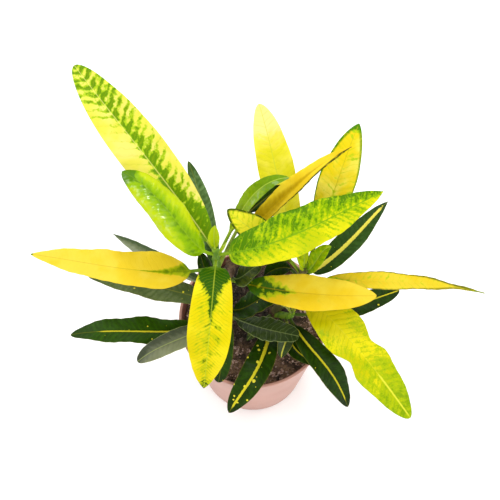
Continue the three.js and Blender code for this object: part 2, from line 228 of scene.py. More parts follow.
# %% Floor and lamps
HALF_FLOOR = 3
FLOOR_GREY = 0.96
LAMPS_AIM = Vector((0, 0, 0.15))
SKY_STRENGTH = 1.02
LAMPS = [
    {"name": "window", "place": (-1.3, 0.5, 1.7), "size": 1.6, "power": 20},
    {"name": "glint_behind", "place": (0.15, 0.62, 1.3), "size": 0.26, "power": 3},
    {"name": "glint_beside", "place": (0.7, 0.1, 1.3), "size": 0.26, "power": 3},
    {"name": "front_softbox", "place": (0.9, -1.5, 1.3), "size": 1.6, "power": 15},
]

floor_material, floor_tree, floor_shader = new_material("pale_floor", gloss=0.1)
feed(floor_tree, floor_shader, "Base Color", (FLOOR_GREY, FLOOR_GREY, FLOOR_GREY, 1))
feed(floor_tree, floor_shader, "Roughness", 0.9)
floor_corners = [(x * HALF_FLOOR, y * HALF_FLOOR, 0) for x, y in ((-1, -1), (1, -1), (1, 1), (-1, 1))]
floor_mesh = bpy.data.meshes.new("floor")
floor_mesh.from_pydata(floor_corners, [], [(0, 1, 2, 3)])
floor_mesh.materials.append(floor_material)
floor = add_object("floor", floor_mesh)

for row in LAMPS:
    lamp = add_object(row["name"], bpy.data.lights.new(row["name"], "AREA"))
    lamp.data.size = row["size"]
    lamp.data.energy = row["power"]
    lamp.location = row["place"]
    lamp.rotation_euler = (LAMPS_AIM - lamp.location).to_track_quat("-Z", "Y").to_euler()

sky = bpy.data.worlds.new("white_sky")
sky.use_nodes = True
background = sky.node_tree.nodes["Background"]
feed(sky.node_tree, background, "Color", (1, 1, 1, 1))
feed(sky.node_tree, background, "Strength", SKY_STRENGTH)
bpy.context.scene.world = sky
bpy.context.scene.view_settings.view_transform = "Standard"
print("lamps:", len(LAMPS), "sky strength:", SKY_STRENGTH)

# %% [markdown]
# ## Turning a Geometry Nodes tree into a plain piece
# Geometry Nodes are a good way to make what follows a rule, but the finished file should hold plain
# meshes. So each piece is grown by a tree on a holder object, the result is copied into a mesh, and
# the modifier is taken off again before the piece is tied to the frame.

# %% Grow a piece
GEOMETRY_OUT = {"Geometry": "Geometry"}


def grow(name, tree, values, source=None):
    """Runs a tree with these named inputs and returns its result as a plain mesh object."""
    piece = add_object(name, source or bpy.data.meshes.new(name + "_start"))
    modifier = piece.modifiers.new("maker", "NODES")
    modifier.node_group = tree
    identifiers = {
        item.name: item.identifier
        for item in tree.interface.items_tree
        if item.item_type == "SOCKET" and item.in_out == "INPUT"
    }
    for label, value in values.items():
        modifier[identifiers[label]] = value
    apply_modifiers(piece)
    piece.data.name = name
    return piece


def apply_modifiers(piece):
    """Puts the piece's shape with its modifiers into a plain mesh, and takes the modifiers off."""
    graph = bpy.context.evaluated_depsgraph_get()
    mesh = bpy.data.meshes.new_from_object(piece.evaluated_get(graph), depsgraph=graph)
    piece.modifiers.clear()
    piece.data = mesh


def tie(piece, slot, *nodes):
    """Hides the solids that the piece stands for, and lets it ride on the plant's only body."""
    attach(piece, "root")
    if nodes:
        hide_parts(*nodes)


def finish_tree(tree, output, geometry, material):
    """Smooth shading, a material and real geometry, as every tree here ends."""
    smooth = add_node(tree, "GeometryNodeSetShadeSmooth", {"Geometry": geometry})
    values = {"Geometry": smooth.outputs[0], "Material": material}
    coloured = add_node(tree, "GeometryNodeSetMaterial", values)
    real = add_node(tree, "GeometryNodeRealizeInstances", {"Geometry": coloured.outputs[0]})
    feed(tree, output, "Geometry", real.outputs[0])


# %% [markdown]
# ## The leaf's shape
# A croton leaf is a long leathery blade on a short round stalk. Its middle line arches, its two halves
# fold up a little like an open book, its edges wave, and side veins press shallow furrows into it.
# It could be sculpted, but 33 leaves with one rule are better grown by a tree: the middle line is a
# Bézier curve, and a tube of points is laid along it, round on the stalk and flat on the blade. The
# tube keeps the blade closed, with a thin rounded edge. The tree also stores where each point lies on
# the leaf, so that the colours can follow the veins.

# %% Sizes that all leaves share
# The stalk and the blade's outline
STALK_RADIUS = 1.3 * MM
STALK_SHARE = 0.12
BLADE_THICKNESS = 0.55 * MM
TIP_HALF_WIDTH = 0.5 * MM
WAIST_LENGTH = 0.07
# The fold along the rib, rounded so that it makes no crease
FOLD_ROUNDING = 0.006
FOLD_DROP = 0.077
# The rib, a ridge below and a groove above, and the furrows of the side veins
RIB_DEPTH = 0.75 * MM
RIB_HOLLOW = 0.35 * MM
RIB_WIDTH = 0.9 * MM
RIB_TAPER = 0.7
FURROW_DEPTH = 0.16 * MM
FURROW_SHARPNESS = 5.0
VEIN_SPACING = 4.6
VEIN_SLANT = 0.62
# The long waves and short ripples of the edges, and how close to the edge ripples and curl keep
EDGE_WAVE = 1.4 * MM
WAVE_SHIFT = 2.0
EDGE_RIPPLE = 0.3 * MM
RIPPLE_LENGTH = 8.3 * MM
EDGE_POWER = 4.0
WAVY_WIDTH = 24 * MM
# The mesh, whose points crowd where the shape is fine
PATH_STEPS = 64
LEAF_SIDES = 56
TIP_CROWDING = 1.2
RIB_CROWDING = 0.45
FULL_TURN = 2 * math.pi

LEAF_NUMBERS = (
    "Stalk", "Width", "Fold", "Roll", "Curl", "Ripple", "Quilt", "Belly", "Base Power", "Point Power",
    "Waist", "Waist Place", "Turns", "Phase", "Vein Spacing",
)
LEAF_INPUTS = {
    **dict.fromkeys(("Start", "Start Handle", "End Handle", "Tip", "Side"), "Vector"),
    **dict.fromkeys(LEAF_NUMBERS, "Float"),
    "Rings": "Int",
    "Material": "Material",
}

# %% The leaf tree
leaf_tree, leaf_input, leaf_out = new_group("waved_leaf", "GeometryNodeTree", LEAF_INPUTS, GEOMETRY_OUT)
leaf_node = partial(add_node, leaf_tree)
leaf_vector = partial(vector_calc, leaf_tree)

bezier = leaf_node("GeometryNodeCurvePrimitiveBezierSegment", {
    "Resolution": PATH_STEPS,
    "Start": leaf_input("Start"),
    "Start Handle": leaf_input("Start Handle"),
    "End Handle": leaf_input("End Handle"),
    "End": leaf_input("Tip"),
}, mode="POSITION")
tube = leaf_node("GeometryNodeMeshCylinder", {
    "Vertices": LEAF_SIDES,
    "Side Segments": leaf_input("Rings"),
    "Radius": 1.0,
    "Depth": 1.0,
}, fill_type="TRIANGLE_FAN")
tube_place = leaf_node("GeometryNodeInputPosition").outputs[0]
tube_xyz = leaf_node("ShaderNodeSeparateXYZ", {0: tube_place})
round_across = Number(leaf_tree, tube_xyz.outputs["X"]) * -1.0
round_up = Number(leaf_tree, tube_xyz.outputs["Y"])
even = Number(leaf_tree, tube_xyz.outputs["Z"]) + 0.5

# Where this ring lies on the middle line; rings crowd towards the tip
total = Number(leaf_tree, leaf_node("GeometryNodeCurveLength", {0: bezier.outputs[0]}).outputs[0])
length = (1.0 - (1.0 - even).most(0.0) ** TIP_CROWDING) * total
sample_at = {"Curves": bezier.outputs[0], "Length": length}
sample = leaf_node("GeometryNodeSampleCurve", sample_at, mode="LENGTH", use_all_curves=True)
middle, along = sample.outputs["Position"], sample.outputs["Tangent"]
stalk = leaf_input("Stalk")
width = leaf_input("Width")
belly = leaf_input("Belly")
share = (length - stalk) / (total - stalk)

# Half width: a rise from the stalk, a fall to the tip, and a waist on some leaves
risen = (share / belly).clipped()
left_over = ((1.0 - share) / (1.0 - belly)).clipped()
rise = (risen * (math.pi / 2)).sin() ** leaf_input("Base Power")
fall = (left_over * (math.pi / 2)).sin() ** leaf_input("Point Power")
waist = 1.0 - (share - leaf_input("Waist Place")).bell(WAIST_LENGTH) * leaf_input("Waist")
half = (width * 0.5 * rise * fall * waist).most(TIP_HALF_WIDTH) * share.above(0.0)
stalk_radius = (width * STALK_SHARE).least(STALK_RADIUS)
opened = ((half - stalk_radius) / (width * STALK_SHARE)).clipped()
flatness = opened.most(share.above(0.5))

# Across the blade, v runs from -1 at one edge to 1 at the other; points crowd towards the rib
v = round_across * (round_across * round_across * RIB_CROWDING + (1.0 - RIB_CROWDING))
across = v * half
blade_share = share.clipped()
fade = (blade_share * math.pi).sin().most(0.0) ** 0.7

# Heights above the middle line
fold = leaf_input("Fold")
book = ((v * v + FOLD_ROUNDING) ** 0.5 - FOLD_DROP) * half * fold.sin()
turn = blade_share * leaf_input("Turns") * FULL_TURN + leaf_input("Phase")
wave_height = (width / WAVY_WIDTH).least(1.0) * EDGE_WAVE
wave = (turn + v.above(0.0) * WAVE_SHIFT).sin() * wave_height * fade * v * v
ripple_turn = length * (FULL_TURN / RIPPLE_LENGTH) + v.sign() + leaf_input("Phase")
near_edge = v ** EDGE_POWER
ripple = ripple_turn.sin() * fade * near_edge * EDGE_RIPPLE * leaf_input("Ripple")
rib_near = across.bell(RIB_WIDTH)
vein_turn = (length - across.abs() * VEIN_SLANT) / leaf_input("Vein Spacing")
furrow = ((vein_turn * FULL_TURN).cos() * 0.5 + 0.5) ** FURROW_SHARPNESS
quilt_depth = (width / WAVY_WIDTH).least(1.2) * FURROW_DEPTH * leaf_input("Quilt")
quilt = furrow * (1.0 - rib_near) * (1.0 - v ** 6.0) * quilt_depth
under = round_up.below(0.0)
taper = 1.0 - blade_share * RIB_TAPER
rib = rib_near * taper * (under * RIB_DEPTH + (1.0 - under) * RIB_HOLLOW) * fade
skin = round_up.sign() * round_up.abs() ** 0.5 * (BLADE_THICKNESS / 2)
curl = near_edge * half * leaf_input("Curl")
lift = book + wave + ripple - quilt - rib - curl + skin

# Round stalk and flat blade run into each other
sheet_x = across * fold.cos()
local_x = round_across * stalk_radius * (1.0 - flatness) + sheet_x * flatness
local_y = round_up * stalk_radius * (1.0 - flatness) + lift * flatness

# The blade's own directions at this point of the middle line
right = leaf_vector("CROSS_PRODUCT", along, leaf_vector("CROSS_PRODUCT", leaf_input("Side"), along))
right = leaf_vector("NORMALIZE", right)
upward = leaf_vector("CROSS_PRODUCT", right, along)
roll = leaf_input("Roll")


def scaled(direction, amount):
    return leaf_vector("SCALE", direction, Scale=amount)


blade_x = leaf_vector("ADD", scaled(right, roll.cos()), scaled(upward, roll.sin()))
blade_y = leaf_vector("SUBTRACT", scaled(upward, roll.cos()), scaled(right, roll.sin()))
offset = leaf_vector("ADD", scaled(blade_x, local_x), scaled(blade_y, local_y))

STORED = {
    "share": share,
    "across_mm": across / MM,
    "along_mm": length / MM,
    "half_mm": half / MM,
    "upper": 1.0 - under,
}
geometry = tube.outputs["Mesh"]
for label, value in STORED.items():
    values = {"Geometry": geometry, "Name": label, "Value": value}
    store = leaf_node("GeometryNodeStoreNamedAttribute", values, data_type="FLOAT", domain="POINT")
    geometry = store.outputs[0]
moved = {"Geometry": geometry, "Position": leaf_vector("ADD", middle, offset)}
shaped = leaf_node("GeometryNodeSetPosition", moved)
finish_tree(leaf_tree, leaf_out, shaped.outputs[0], leaf_input("Material"))
print("leaf tree nodes:", len(leaf_tree.nodes))

# %% [markdown]
# ## The leaf's marbling
# A croton's colours follow its veins: between two side veins the blade may be yellow, lime or deep
# green, and each patch bleeds a little into the next. An image could be painted and wrapped round the
# leaf, but a rule works at any size and needs no file. The rule counts the strips between the side
# veins, gives each a random value, adds noise that is stretched along the veins, and compares the sum
# with how green the leaf is at that place. Older leaves are nearly all green, with a yellow rib and
# yellow flecks. One node group holds the rule, and each leaf's material sets its own values.

# %% The marbling group
MARBLING_INPUTS = {
    **dict.fromkeys(("Pale", "Blush", "Green", "Deep", "Vein", "Rib", "Stalk"), "Color"),
    "Vein Share": 0.25, "Rib Share": 0.6, "Spacing": VEIN_SPACING, "Pattern": 1.0, "Feather": 0.95,
    "Mottle": 0.3, "Blotch": 0.0, "Veiny": 0.08, "Base": 0.8, "Base Reach": 0.3, "Base Spread": 1.1,
    "Middle": 0.2, "End": 0.5, "End Reach": 0.2, "Lean": 0.0, "One Side": 0.0, "Hug": 0.0,
    "Stripe": 0.4, "Stripe From": 0.0, "Stripe To": 1.0, "Flecks": 0.0, "Left Edge": 0.0,
    "Right Edge": 0.0, "Margin": 0.0, "Dull": 0.32, "Coat": 0.0, "Coat Side": 1.0, "Seed": 0.0,
}
MARBLING_OUTPUTS = {"Color": "Color", "Roughness": "Float", "Coat": "Float", "Height": "Float"}
UNDERSIDE = from_rgb(150, 165, 95)
# How far the strips bend, how much whole strips differ, and the shift of the second noise field
STRIP_WARP = 1.3
STRIP_CONTRAST = 0.14
SECOND_FIELD = 20.0
# Noise scales, in waves per millimetre
BLUSH_SCALE = 0.05
WARP_SCALE = 0.16
BLOTCH_SCALE = 0.2
FLECK_SCALE = 0.27
WET_SCALE = 0.3
RAGGED_SCALE = 0.75
PORE_SCALE = 2.4
# Across the strips, in waves per strip
FEATHER_SCALE = 1.15

marbling, given, marbling_out = new_group(
    "croton_marbling", "ShaderNodeTree", MARBLING_INPUTS, MARBLING_OUTPUTS
)
from_leaf = partial(stored_value, marbling)
marbling_noise = partial(noise, marbling)
mix_in = partial(blend_colour, marbling)

# Share runs from 0 at the blade's base to 1 at its tip, and v from -1 at one edge to 1 at the other
share, along_mm, across_mm = from_leaf("share"), from_leaf("along_mm"), from_leaf("across_mm")
upper, half_mm = from_leaf("upper"), from_leaf("half_mm")
seed = given("Seed")
v = (across_mm / half_mm.most(0.3)).least(1.0).most(-1.0)
half_side = across_mm.sign()
on_leaf = point_at(marbling, along_mm, across_mm, seed)
on_leaf_again = point_at(marbling, along_mm, across_mm, seed + SECOND_FIELD)

# Strips between side veins, which bend and bleed into each other
warp = (marbling_noise(on_leaf, WARP_SCALE, 3.0) - 0.5) * STRIP_WARP
strip = (along_mm - across_mm.abs() * VEIN_SLANT) / given("Spacing") + warp
strip_place = point_at(marbling, strip.floor(), half_side * 3.0, seed)
strip_node = add_node(marbling, "ShaderNodeTexWhiteNoise", {"Vector": strip_place})
strip_draw = Number(marbling, strip_node.outputs[0]) - 0.5
stretched = point_at(marbling, strip * 1.25, v.abs() * 1.7 + half_side * 7.0, seed)
feather = marbling_noise(stretched, FEATHER_SCALE, 3.0) - 0.5
ragged = marbling_noise(on_leaf_again, RAGGED_SCALE, 3.0) - 0.5
vein_wave = (strip * FULL_TURN).cos()
blotch = marbling_noise(on_leaf, BLOTCH_SCALE) - 0.5
field = strip_draw * STRIP_CONTRAST + feather * given("Feather") + ragged * given("Mottle")
field = field + blotch * given("Blotch") - vein_wave * given("Veiny")

# How green the leaf is here, and where that beats the strips
foot = share * (v.abs() * given("Base Spread") + 0.5) / given("Base Reach")
foot = foot.ramp(0.35, 1.0, 1.0, 0.0)
end = share.ramp(1.0 - given("End Reach"), 1.0)
greenness = given("Middle") + given("Hug") * (0.45 - v.abs())
greenness = greenness + given("One Side") * v.ramp(-0.12, 0.12, -1.0, 1.0)
greenness = greenness + (given("Base") - greenness) * foot
greenness = greenness + (given("End") - greenness) * end + given("Lean") * v
ahead = greenness - 0.5 - field * given("Pattern")
green_mask = ahead.ramp(-0.2, 0.05)
deep_mask = ahead.ramp(0.03, 0.24)

blush_mask = marbling_noise(on_leaf, BLUSH_SCALE, 3.0).ramp(0.38, 0.62)
colour = mix_in(blush_mask, given("Pale"), given("Blush"))
colour = mix_in(green_mask, colour, given("Green"))
colour = mix_in(deep_mask, colour, given("Deep"))

# Fine veins and flecks
vein_near = (strip.fract() - 0.5).abs().ramp(0.38, 0.5)
vein_mask = vein_near * given("Vein Share") * (1.0 - v.abs() ** 5.0) * (ragged + 0.9)
colour = mix_in(vein_mask, colour, given("Vein"))
cells = add_node(marbling, "ShaderNodeTexVoronoi", {"Vector": on_leaf, "Scale": FLECK_SCALE})
cell_node = add_node(marbling, "ShaderNodeSeparateColor", {0: cells.outputs["Color"]})
fleck_size = (Number(marbling, cell_node.outputs[0]) - 1.0 + given("Flecks")) * 1.1
fleck_near = Number(marbling, cells.outputs["Distance"]) + ragged * 0.15 - fleck_size
colour = mix_in(fleck_near.ramp(0.08, 0.14, 1.0, 0.0), colour, given("Pale"))

# The rib and its stripe, the edges, a painted edge light, the stalk and the underside
on_stripe = (share - given("Stripe From")).ramp(-0.02, 0.04)
on_stripe = on_stripe * (given("Stripe To") - share).ramp(-0.02, 0.05)
stripe_width = (given("Stripe") * on_stripe * (1.2 - share * 0.6)).most(0.24)
rib_mask = (across_mm.abs() - stripe_width + ragged * stripe_width).ramp(-0.12, 0.16, 1.0, 0.0)
rib_share = given("Rib Share") + (0.95 - given("Rib Share")) * on_stripe * given("Stripe").ramp(0.4, 0.5)
colour = mix_in(rib_mask * rib_share, colour, given("Rib"))
edge_width = share * share * 3.2 + 0.7
edge = (half_mm - across_mm.abs()).ramp(edge_width * 0.4, edge_width, 1.0, 0.0)
edge = edge * (feather * 3.0 + 1.0).clipped()
which_edge = given("Left Edge") * v.below(0.0) + given("Right Edge") * v.above(0.0)
colour = mix_in(edge * which_edge, colour, given("Deep"))
# Painted edge light: the very edge of the blade is lightened in the rib's colour.
colour = mix_in(v.abs().ramp(0.93, 0.99) * given("Margin"), colour, given("Rib"))
colour = mix_in(share.ramp(-0.03, 0.04, 1.0, 0.0) * 0.85, colour, given("Stalk"))
colour = mix_in((1.0 - upper) * 0.35, colour, UNDERSIDE)

# What the shader takes: colour, roughness, wet-looking patches and a small relief
feed(marbling, marbling_out, "Color", colour)
feed(marbling, marbling_out, "Roughness", ragged * 0.2 + given("Dull") + (1.0 - upper) * 0.16)
wet_patches = marbling_noise(on_leaf_again, WET_SCALE, 3.0).ramp(0.47, 0.56)
wet_half = (v * given("Coat Side")).ramp(0.05, 0.3) * share.ramp(0.25, 0.45)
feed(marbling, marbling_out, "Coat", wet_patches * wet_half * given("Coat"))
pores = marbling_noise(on_leaf, PORE_SCALE)
feed(marbling, marbling_out, "Height", pores * 0.35 - vein_near * 0.35 + feather * 0.6)
print("marbling group nodes:", len(marbling.nodes))

# %% [markdown]
# ## The leaves' colours
# The leaves near the shoot tips are young and pale, and the lowest are old and dark. Five families of
# colour cover all of them. A leaf's own look then says how green it is at its base, in its middle and
# at its end, how much greener one half is than the other, and how wide the stripe on its rib is. The
# words are those of the marbling group's inputs. Only curl, ripple and quilt belong to the shape: how
# far the edges bend down, how much they ripple and how deep the side veins lie.

# %% Colour families
FAMILIES = {
    "yellow": dict(
        pale=(252, 240, 72), blush=(244, 226, 34), green=(170, 202, 12), deep=(78, 132, 6),
        vein=(196, 202, 20), rib=(206, 216, 60), stalk=(140, 172, 40), vein_share=0.4, rib_share=0.6,
        gloss=0.05,
    ),
    "orange": dict(
        pale=(240, 212, 56), blush=(236, 200, 28), green=(172, 196, 14), deep=(34, 84, 8),
        vein=(214, 172, 16), rib=(190, 154, 22), stalk=(120, 156, 44), rib_share=0.55, gloss=0.06,
    ),
    "lime": dict(
        pale=(198, 216, 14), blush=(186, 208, 4), green=(142, 184, 0), deep=(98, 146, 0),
        vein=(176, 202, 26), rib=(196, 218, 80), stalk=(146, 184, 30), rib_share=0.6, gloss=0.1,
    ),
    "dark": dict(
        pale=(236, 222, 60), blush=(226, 208, 36), green=(46, 80, 4), deep=(26, 50, 0), vein=(58, 84, 18),
        rib=(224, 210, 40), stalk=(70, 96, 36), rib_share=0.12, margin=0.12, gloss=0.08,
    ),
    "olive": dict(
        pale=(200, 205, 60), blush=(190, 196, 60), green=(72, 90, 30), deep=(44, 64, 18),
        vein=(92, 116, 60), rib=(136, 156, 84), stalk=(92, 112, 52), rib_share=0.6, margin=0.6,
        gloss=0.18,
    ),
}

# %% Each leaf's look
LOOKS = {
    "left_01": dict(
        family="yellow", pale=(242, 230, 112), blush=(234, 226, 76), green=(176, 208, 30),
        deep=(106, 150, 10), rib=(240, 234, 120), vein_share=0.2, spacing=7.0, feather=0.4, mottle=0.5,
        blotch=1.1, veiny=0.2, base=0.92, base_reach=0.34, middle=0.26, end=0.62, end_reach=0.5,
        one_side=0.24, hug=0.7,
    ),
    "left_02": dict(
        family="lime", deep=(86, 132, 0), vein_share=0.0, rib_share=0.1, pattern=0.4, veiny=0.0, base=0.6,
        middle=0.44, end=1.0, lean=-0.05, hug=0.5, dull=0.2, coat=1.0, coat_side=-1.0, curl=0.35,
        quilt=2.2,
    ),
    "left_03": dict(
        family="yellow", pale=(226, 220, 14), blush=(194, 202, 2), green=(146, 184, 0), deep=(82, 130, 0),
        vein=(186, 204, 16), rib=(124, 166, 8), rib_share=0.8, pattern=0.9, feather=0.8, mottle=0.6,
        blotch=0.7, base=0.66, base_reach=0.24, middle=0.46, end=0.56, end_reach=0.5, lean=-0.22,
        stripe=0.5,
    ),
    "left_04": dict(
        family="orange", pale=(243, 215, 66), blush=(238, 205, 42), green=(170, 182, 4),
        deep=(104, 136, 0), rib=(104, 124, 10), vein_share=0.04, rib_share=0.3, pattern=0.4, base=0.64,
        base_reach=0.26, base_spread=3.8, middle=0.1, end=1.3, end_reach=0.025, lean=0.08, stripe=0.42,
        stripe_from=-0.1, stripe_to=0.3, quilt=0.5,
    ),
    "left_05": dict(
        family="yellow", pale=(246, 226, 28), blush=(226, 208, 6), green=(192, 198, 10), deep=(48, 92, 0),
        vein=(150, 164, 8), vein_share=0.42, rib_share=0.4, spacing=2.6, pattern=0.7, feather=0.9,
        mottle=0.4, blotch=1.3, base=1.05, base_spread=1.4, middle=0.35, end=0.8, end_reach=0.12, hug=0.3,
    ),
    "left_06": dict(
        family="orange", green=(192, 204, 20), deep=(60, 104, 10), vein_share=0.06, rib_share=0.4,
        spacing=8.0, pattern=0.8, feather=0.2, mottle=0.15, blotch=1.0, base=0.78, base_reach=0.32,
        base_spread=0.8, middle=0.1, end=0.1, quilt=0.5,
    ),
    "left_07": dict(family="dark", green=(122, 156, 94), deep=(66, 96, 44)),
    "left_08": dict(
        family="orange", pale=(250, 220, 50), blush=(238, 202, 26), green=(196, 162, 8), deep=(74, 80, 8),
        vein_share=0.0, rib_share=0.0, pattern=0.12, base=0.5, base_reach=0.75, middle=0.1, end=0.4,
        end_reach=0.08, right_edge=1.0, quilt=0.3,
    ),
    "left_09": dict(family="dark"),
    "left_10": dict(
        family="lime", green=(150, 184, 10), deep=(110, 150, 8), vein_share=0.1, pattern=0.3, veiny=0.0,
        base=0.5, middle=0.56, end=0.78, end_reach=0.6, dull=0.2, coat=0.8,
    ),
    # Its paler grey half is a painted sheen.
    "left_11": dict(
        family="olive", pale=(150, 158, 130), blush=(140, 150, 118), green=(108, 120, 86),
        deep=(66, 86, 46), rib_share=0.2, middle=0.5, lean=0.4,
    ),
    "left_12": dict(family="dark", green=(118, 132, 84), deep=(83, 100, 51), flecks=0.08),
    "left_13": dict(
        family="dark", green=(56, 98, 4), deep=(38, 68, 0), stripe=0.75, stripe_from=0.12, stripe_to=0.8,
        flecks=0.05,
    ),
    # Its paler grey half is a painted sheen.
    "left_14": dict(
        family="olive", pale=(140, 146, 108), blush=(126, 132, 96), green=(104, 110, 84),
        deep=(68, 76, 54), rib=(170, 182, 100), middle=0.5, lean=0.35, quilt=0.6,
    ),
    "left_15": dict(family="dark", flecks=0.12),
    "left_16": dict(
        family="olive", vein=(130, 152, 90), rib=(156, 172, 104), vein_share=0.45, margin=1.0, ripple=3.0,
    ),
    "left_17": dict(family="dark", flecks=0.1, ripple=2.5),
    "left_18": dict(family="olive", green=(96, 108, 26), flecks=0.1),
    "left_19": dict(family="dark", stalk=(168, 196, 80)),
    "right_01": dict(
        family="yellow", pale=(248, 236, 80), blush=(232, 224, 34), green=(247, 232, 82),
        deep=(252, 239, 140), vein_share=0.25, pattern=0.3, base=0.3, middle=0.24, end=0.95,
        end_reach=0.44,
    ),
    "right_02": dict(
        family="yellow", pale=(248, 234, 90), blush=(232, 208, 20), rib=(190, 180, 30), pattern=0.8,
        feather=0.5, blotch=0.8, base=0.7, middle=0.26, end=1.1, end_reach=0.12, left_edge=1.0,
        right_edge=0.8,
    ),
    "right_03": dict(family="lime", pattern=0.6, base=0.6, middle=0.46),
    "right_04": dict(
        family="dark", green=(66, 102, 40), deep=(44, 74, 26), rib=(255, 240, 92), stripe=1.5,
        stripe_to=0.93, flecks=0.05,
    ),
    "right_05": dict(
        family="yellow", pale=(240, 213, 52), blush=(234, 200, 26), deep=(92, 102, 16), rib_share=0.1,
        pattern=0.6, feather=0.4, blotch=1.1, base=0.6, base_reach=0.12, middle=0.26, left_edge=0.9,
        right_edge=0.7,
    ),
    "right_06": dict(
        family="yellow", pale=(238, 230, 46), blush=(226, 218, 20), deep=(70, 92, 10),
        vein=(190, 170, 20), vein_share=0.3, base=0.9, base_reach=0.4, middle=0.3, end=0.4, left_edge=1.0,
        right_edge=1.0,
    ),
    "right_07": dict(family="dark", flecks=0.1),
    "right_08": dict(
        family="yellow", pale=(234, 222, 18), blush=(204, 200, 2), green=(174, 194, 6),
        deep=(134, 168, 2), vein=(160, 176, 6), rib=(232, 230, 60), vein_share=0.5, rib_share=0.3,
        pattern=0.8, feather=0.5, mottle=0.6, blotch=0.6, veiny=0.02, base=0.1, base_reach=0.36,
        middle=0.38, end=0.66, end_reach=0.6, stripe=0.9, stripe_from=0.64, quilt=2.0,
    ),
    "front_01": dict(family="dark", stripe=0.6, flecks=0.14),
    "front_02": dict(family="dark", stripe=0.8, stripe_from=0.05, stripe_to=0.93, flecks=0.05),
    "front_03": dict(family="dark", stripe=1.25, stripe_to=0.95, flecks=0.3),
    "front_04": dict(family="dark", stripe=0.6),
    "front_05": dict(family="olive", rib=(210, 205, 70), stripe=0.7),
    "front_06": dict(family="olive", green=(112, 120, 34), flecks=0.1),
}
NOT_MARBLING = ("family", "gloss", "curl", "ripple", "quilt")
OLD_FAMILIES = ("dark", "olive")
OLD_LEAF = dict(base=0.8, middle=0.66, end=0.8, vein_share=0.2, pattern=0.24)
COAT_ROUGHNESS = 0.08
VEIN_RELIEF = 0.35


def leaf_material(name, look, seed_value):
    """A material with the marbling group and this leaf's own values."""
    family = FAMILIES[look["family"]]
    usual = OLD_LEAF if look["family"] in OLD_FAMILIES else {}
    material, tree, shader = new_material("leaf_" + name, gloss=family["gloss"])
    group = add_node(tree, "ShaderNodeGroup", node_tree=marbling)
    for word, value in {**usual, **family, **look, "seed": seed_value}.items():
        if word not in NOT_MARBLING:
            label = word.replace("_", " ").title()
            feed(tree, group, label, from_rgb(*value) if isinstance(value, tuple) else value)
    colour, roughness, height = (group.outputs[label] for label in ("Color", "Roughness", "Height"))
    feed_shader(tree, shader, colour, roughness, height, 0.5, VEIN_RELIEF * MM)
    if "coat" in look:
        feed(tree, shader, "Coat Roughness", COAT_ROUGHNESS)
        feed(tree, shader, "Coat Weight", group.outputs["Coat"])
    return material


print("looks:", len(LOOKS))

# %% [markdown]
# ## The leaves themselves
# Each leaf leaves its cane at one height, and its middle line runs through two points to its tip. These
# are the same measured places as in the solids, in millimetres. A cubic through four points is
# also a Bézier curve, so the two handles follow from them by a short sum.

# %% Canes, leaves and buds, in millimetres and degrees
CANES = {
    "left_cane": dict(
        points=[(-24, 1, 94), (-23, 4, 130), (-20, 6, 160), (-17, 8, 188)], radii=(4, 3.6),
        stem="stem_left", skin="bark", bark=0.22, spacing=9, scar=1.7,
    ),
    "left_shoot": dict(
        points=[(-23, 4, 136), (-26, 4, 160), (-27, 5, 190), (-27, 5, 219)], radii=(3.4, 2.7),
        stem="stem_left", skin="green", bark=0.05, spacing=7, scar=1.3,
    ),
    "right_cane": dict(
        points=[(16, 1, 94), (16, 2, 104), (17, 2, 116)], radii=(4.2, 4),
        stem="stem_right", skin="bark", bark=0.22, spacing=8, scar=1.8,
    ),
    "right_shoot": dict(
        points=[(17, 2, 113), (26, 4, 140), (33, 4, 166), (38, 3, 192)], radii=(3.8, 2.6),
        stem="stem_right", skin="olive", bark=0.1, spacing=8, scar=1.4,
    ),
    "front_shoot": dict(
        points=[(17, 2, 110), (23, -4, 121), (28, -9, 131), (30, -11, 142)], radii=(3.2, 2.2),
        stem="stem_right", skin="green", bark=0.05, spacing=6, scar=1.1,
    ),
}
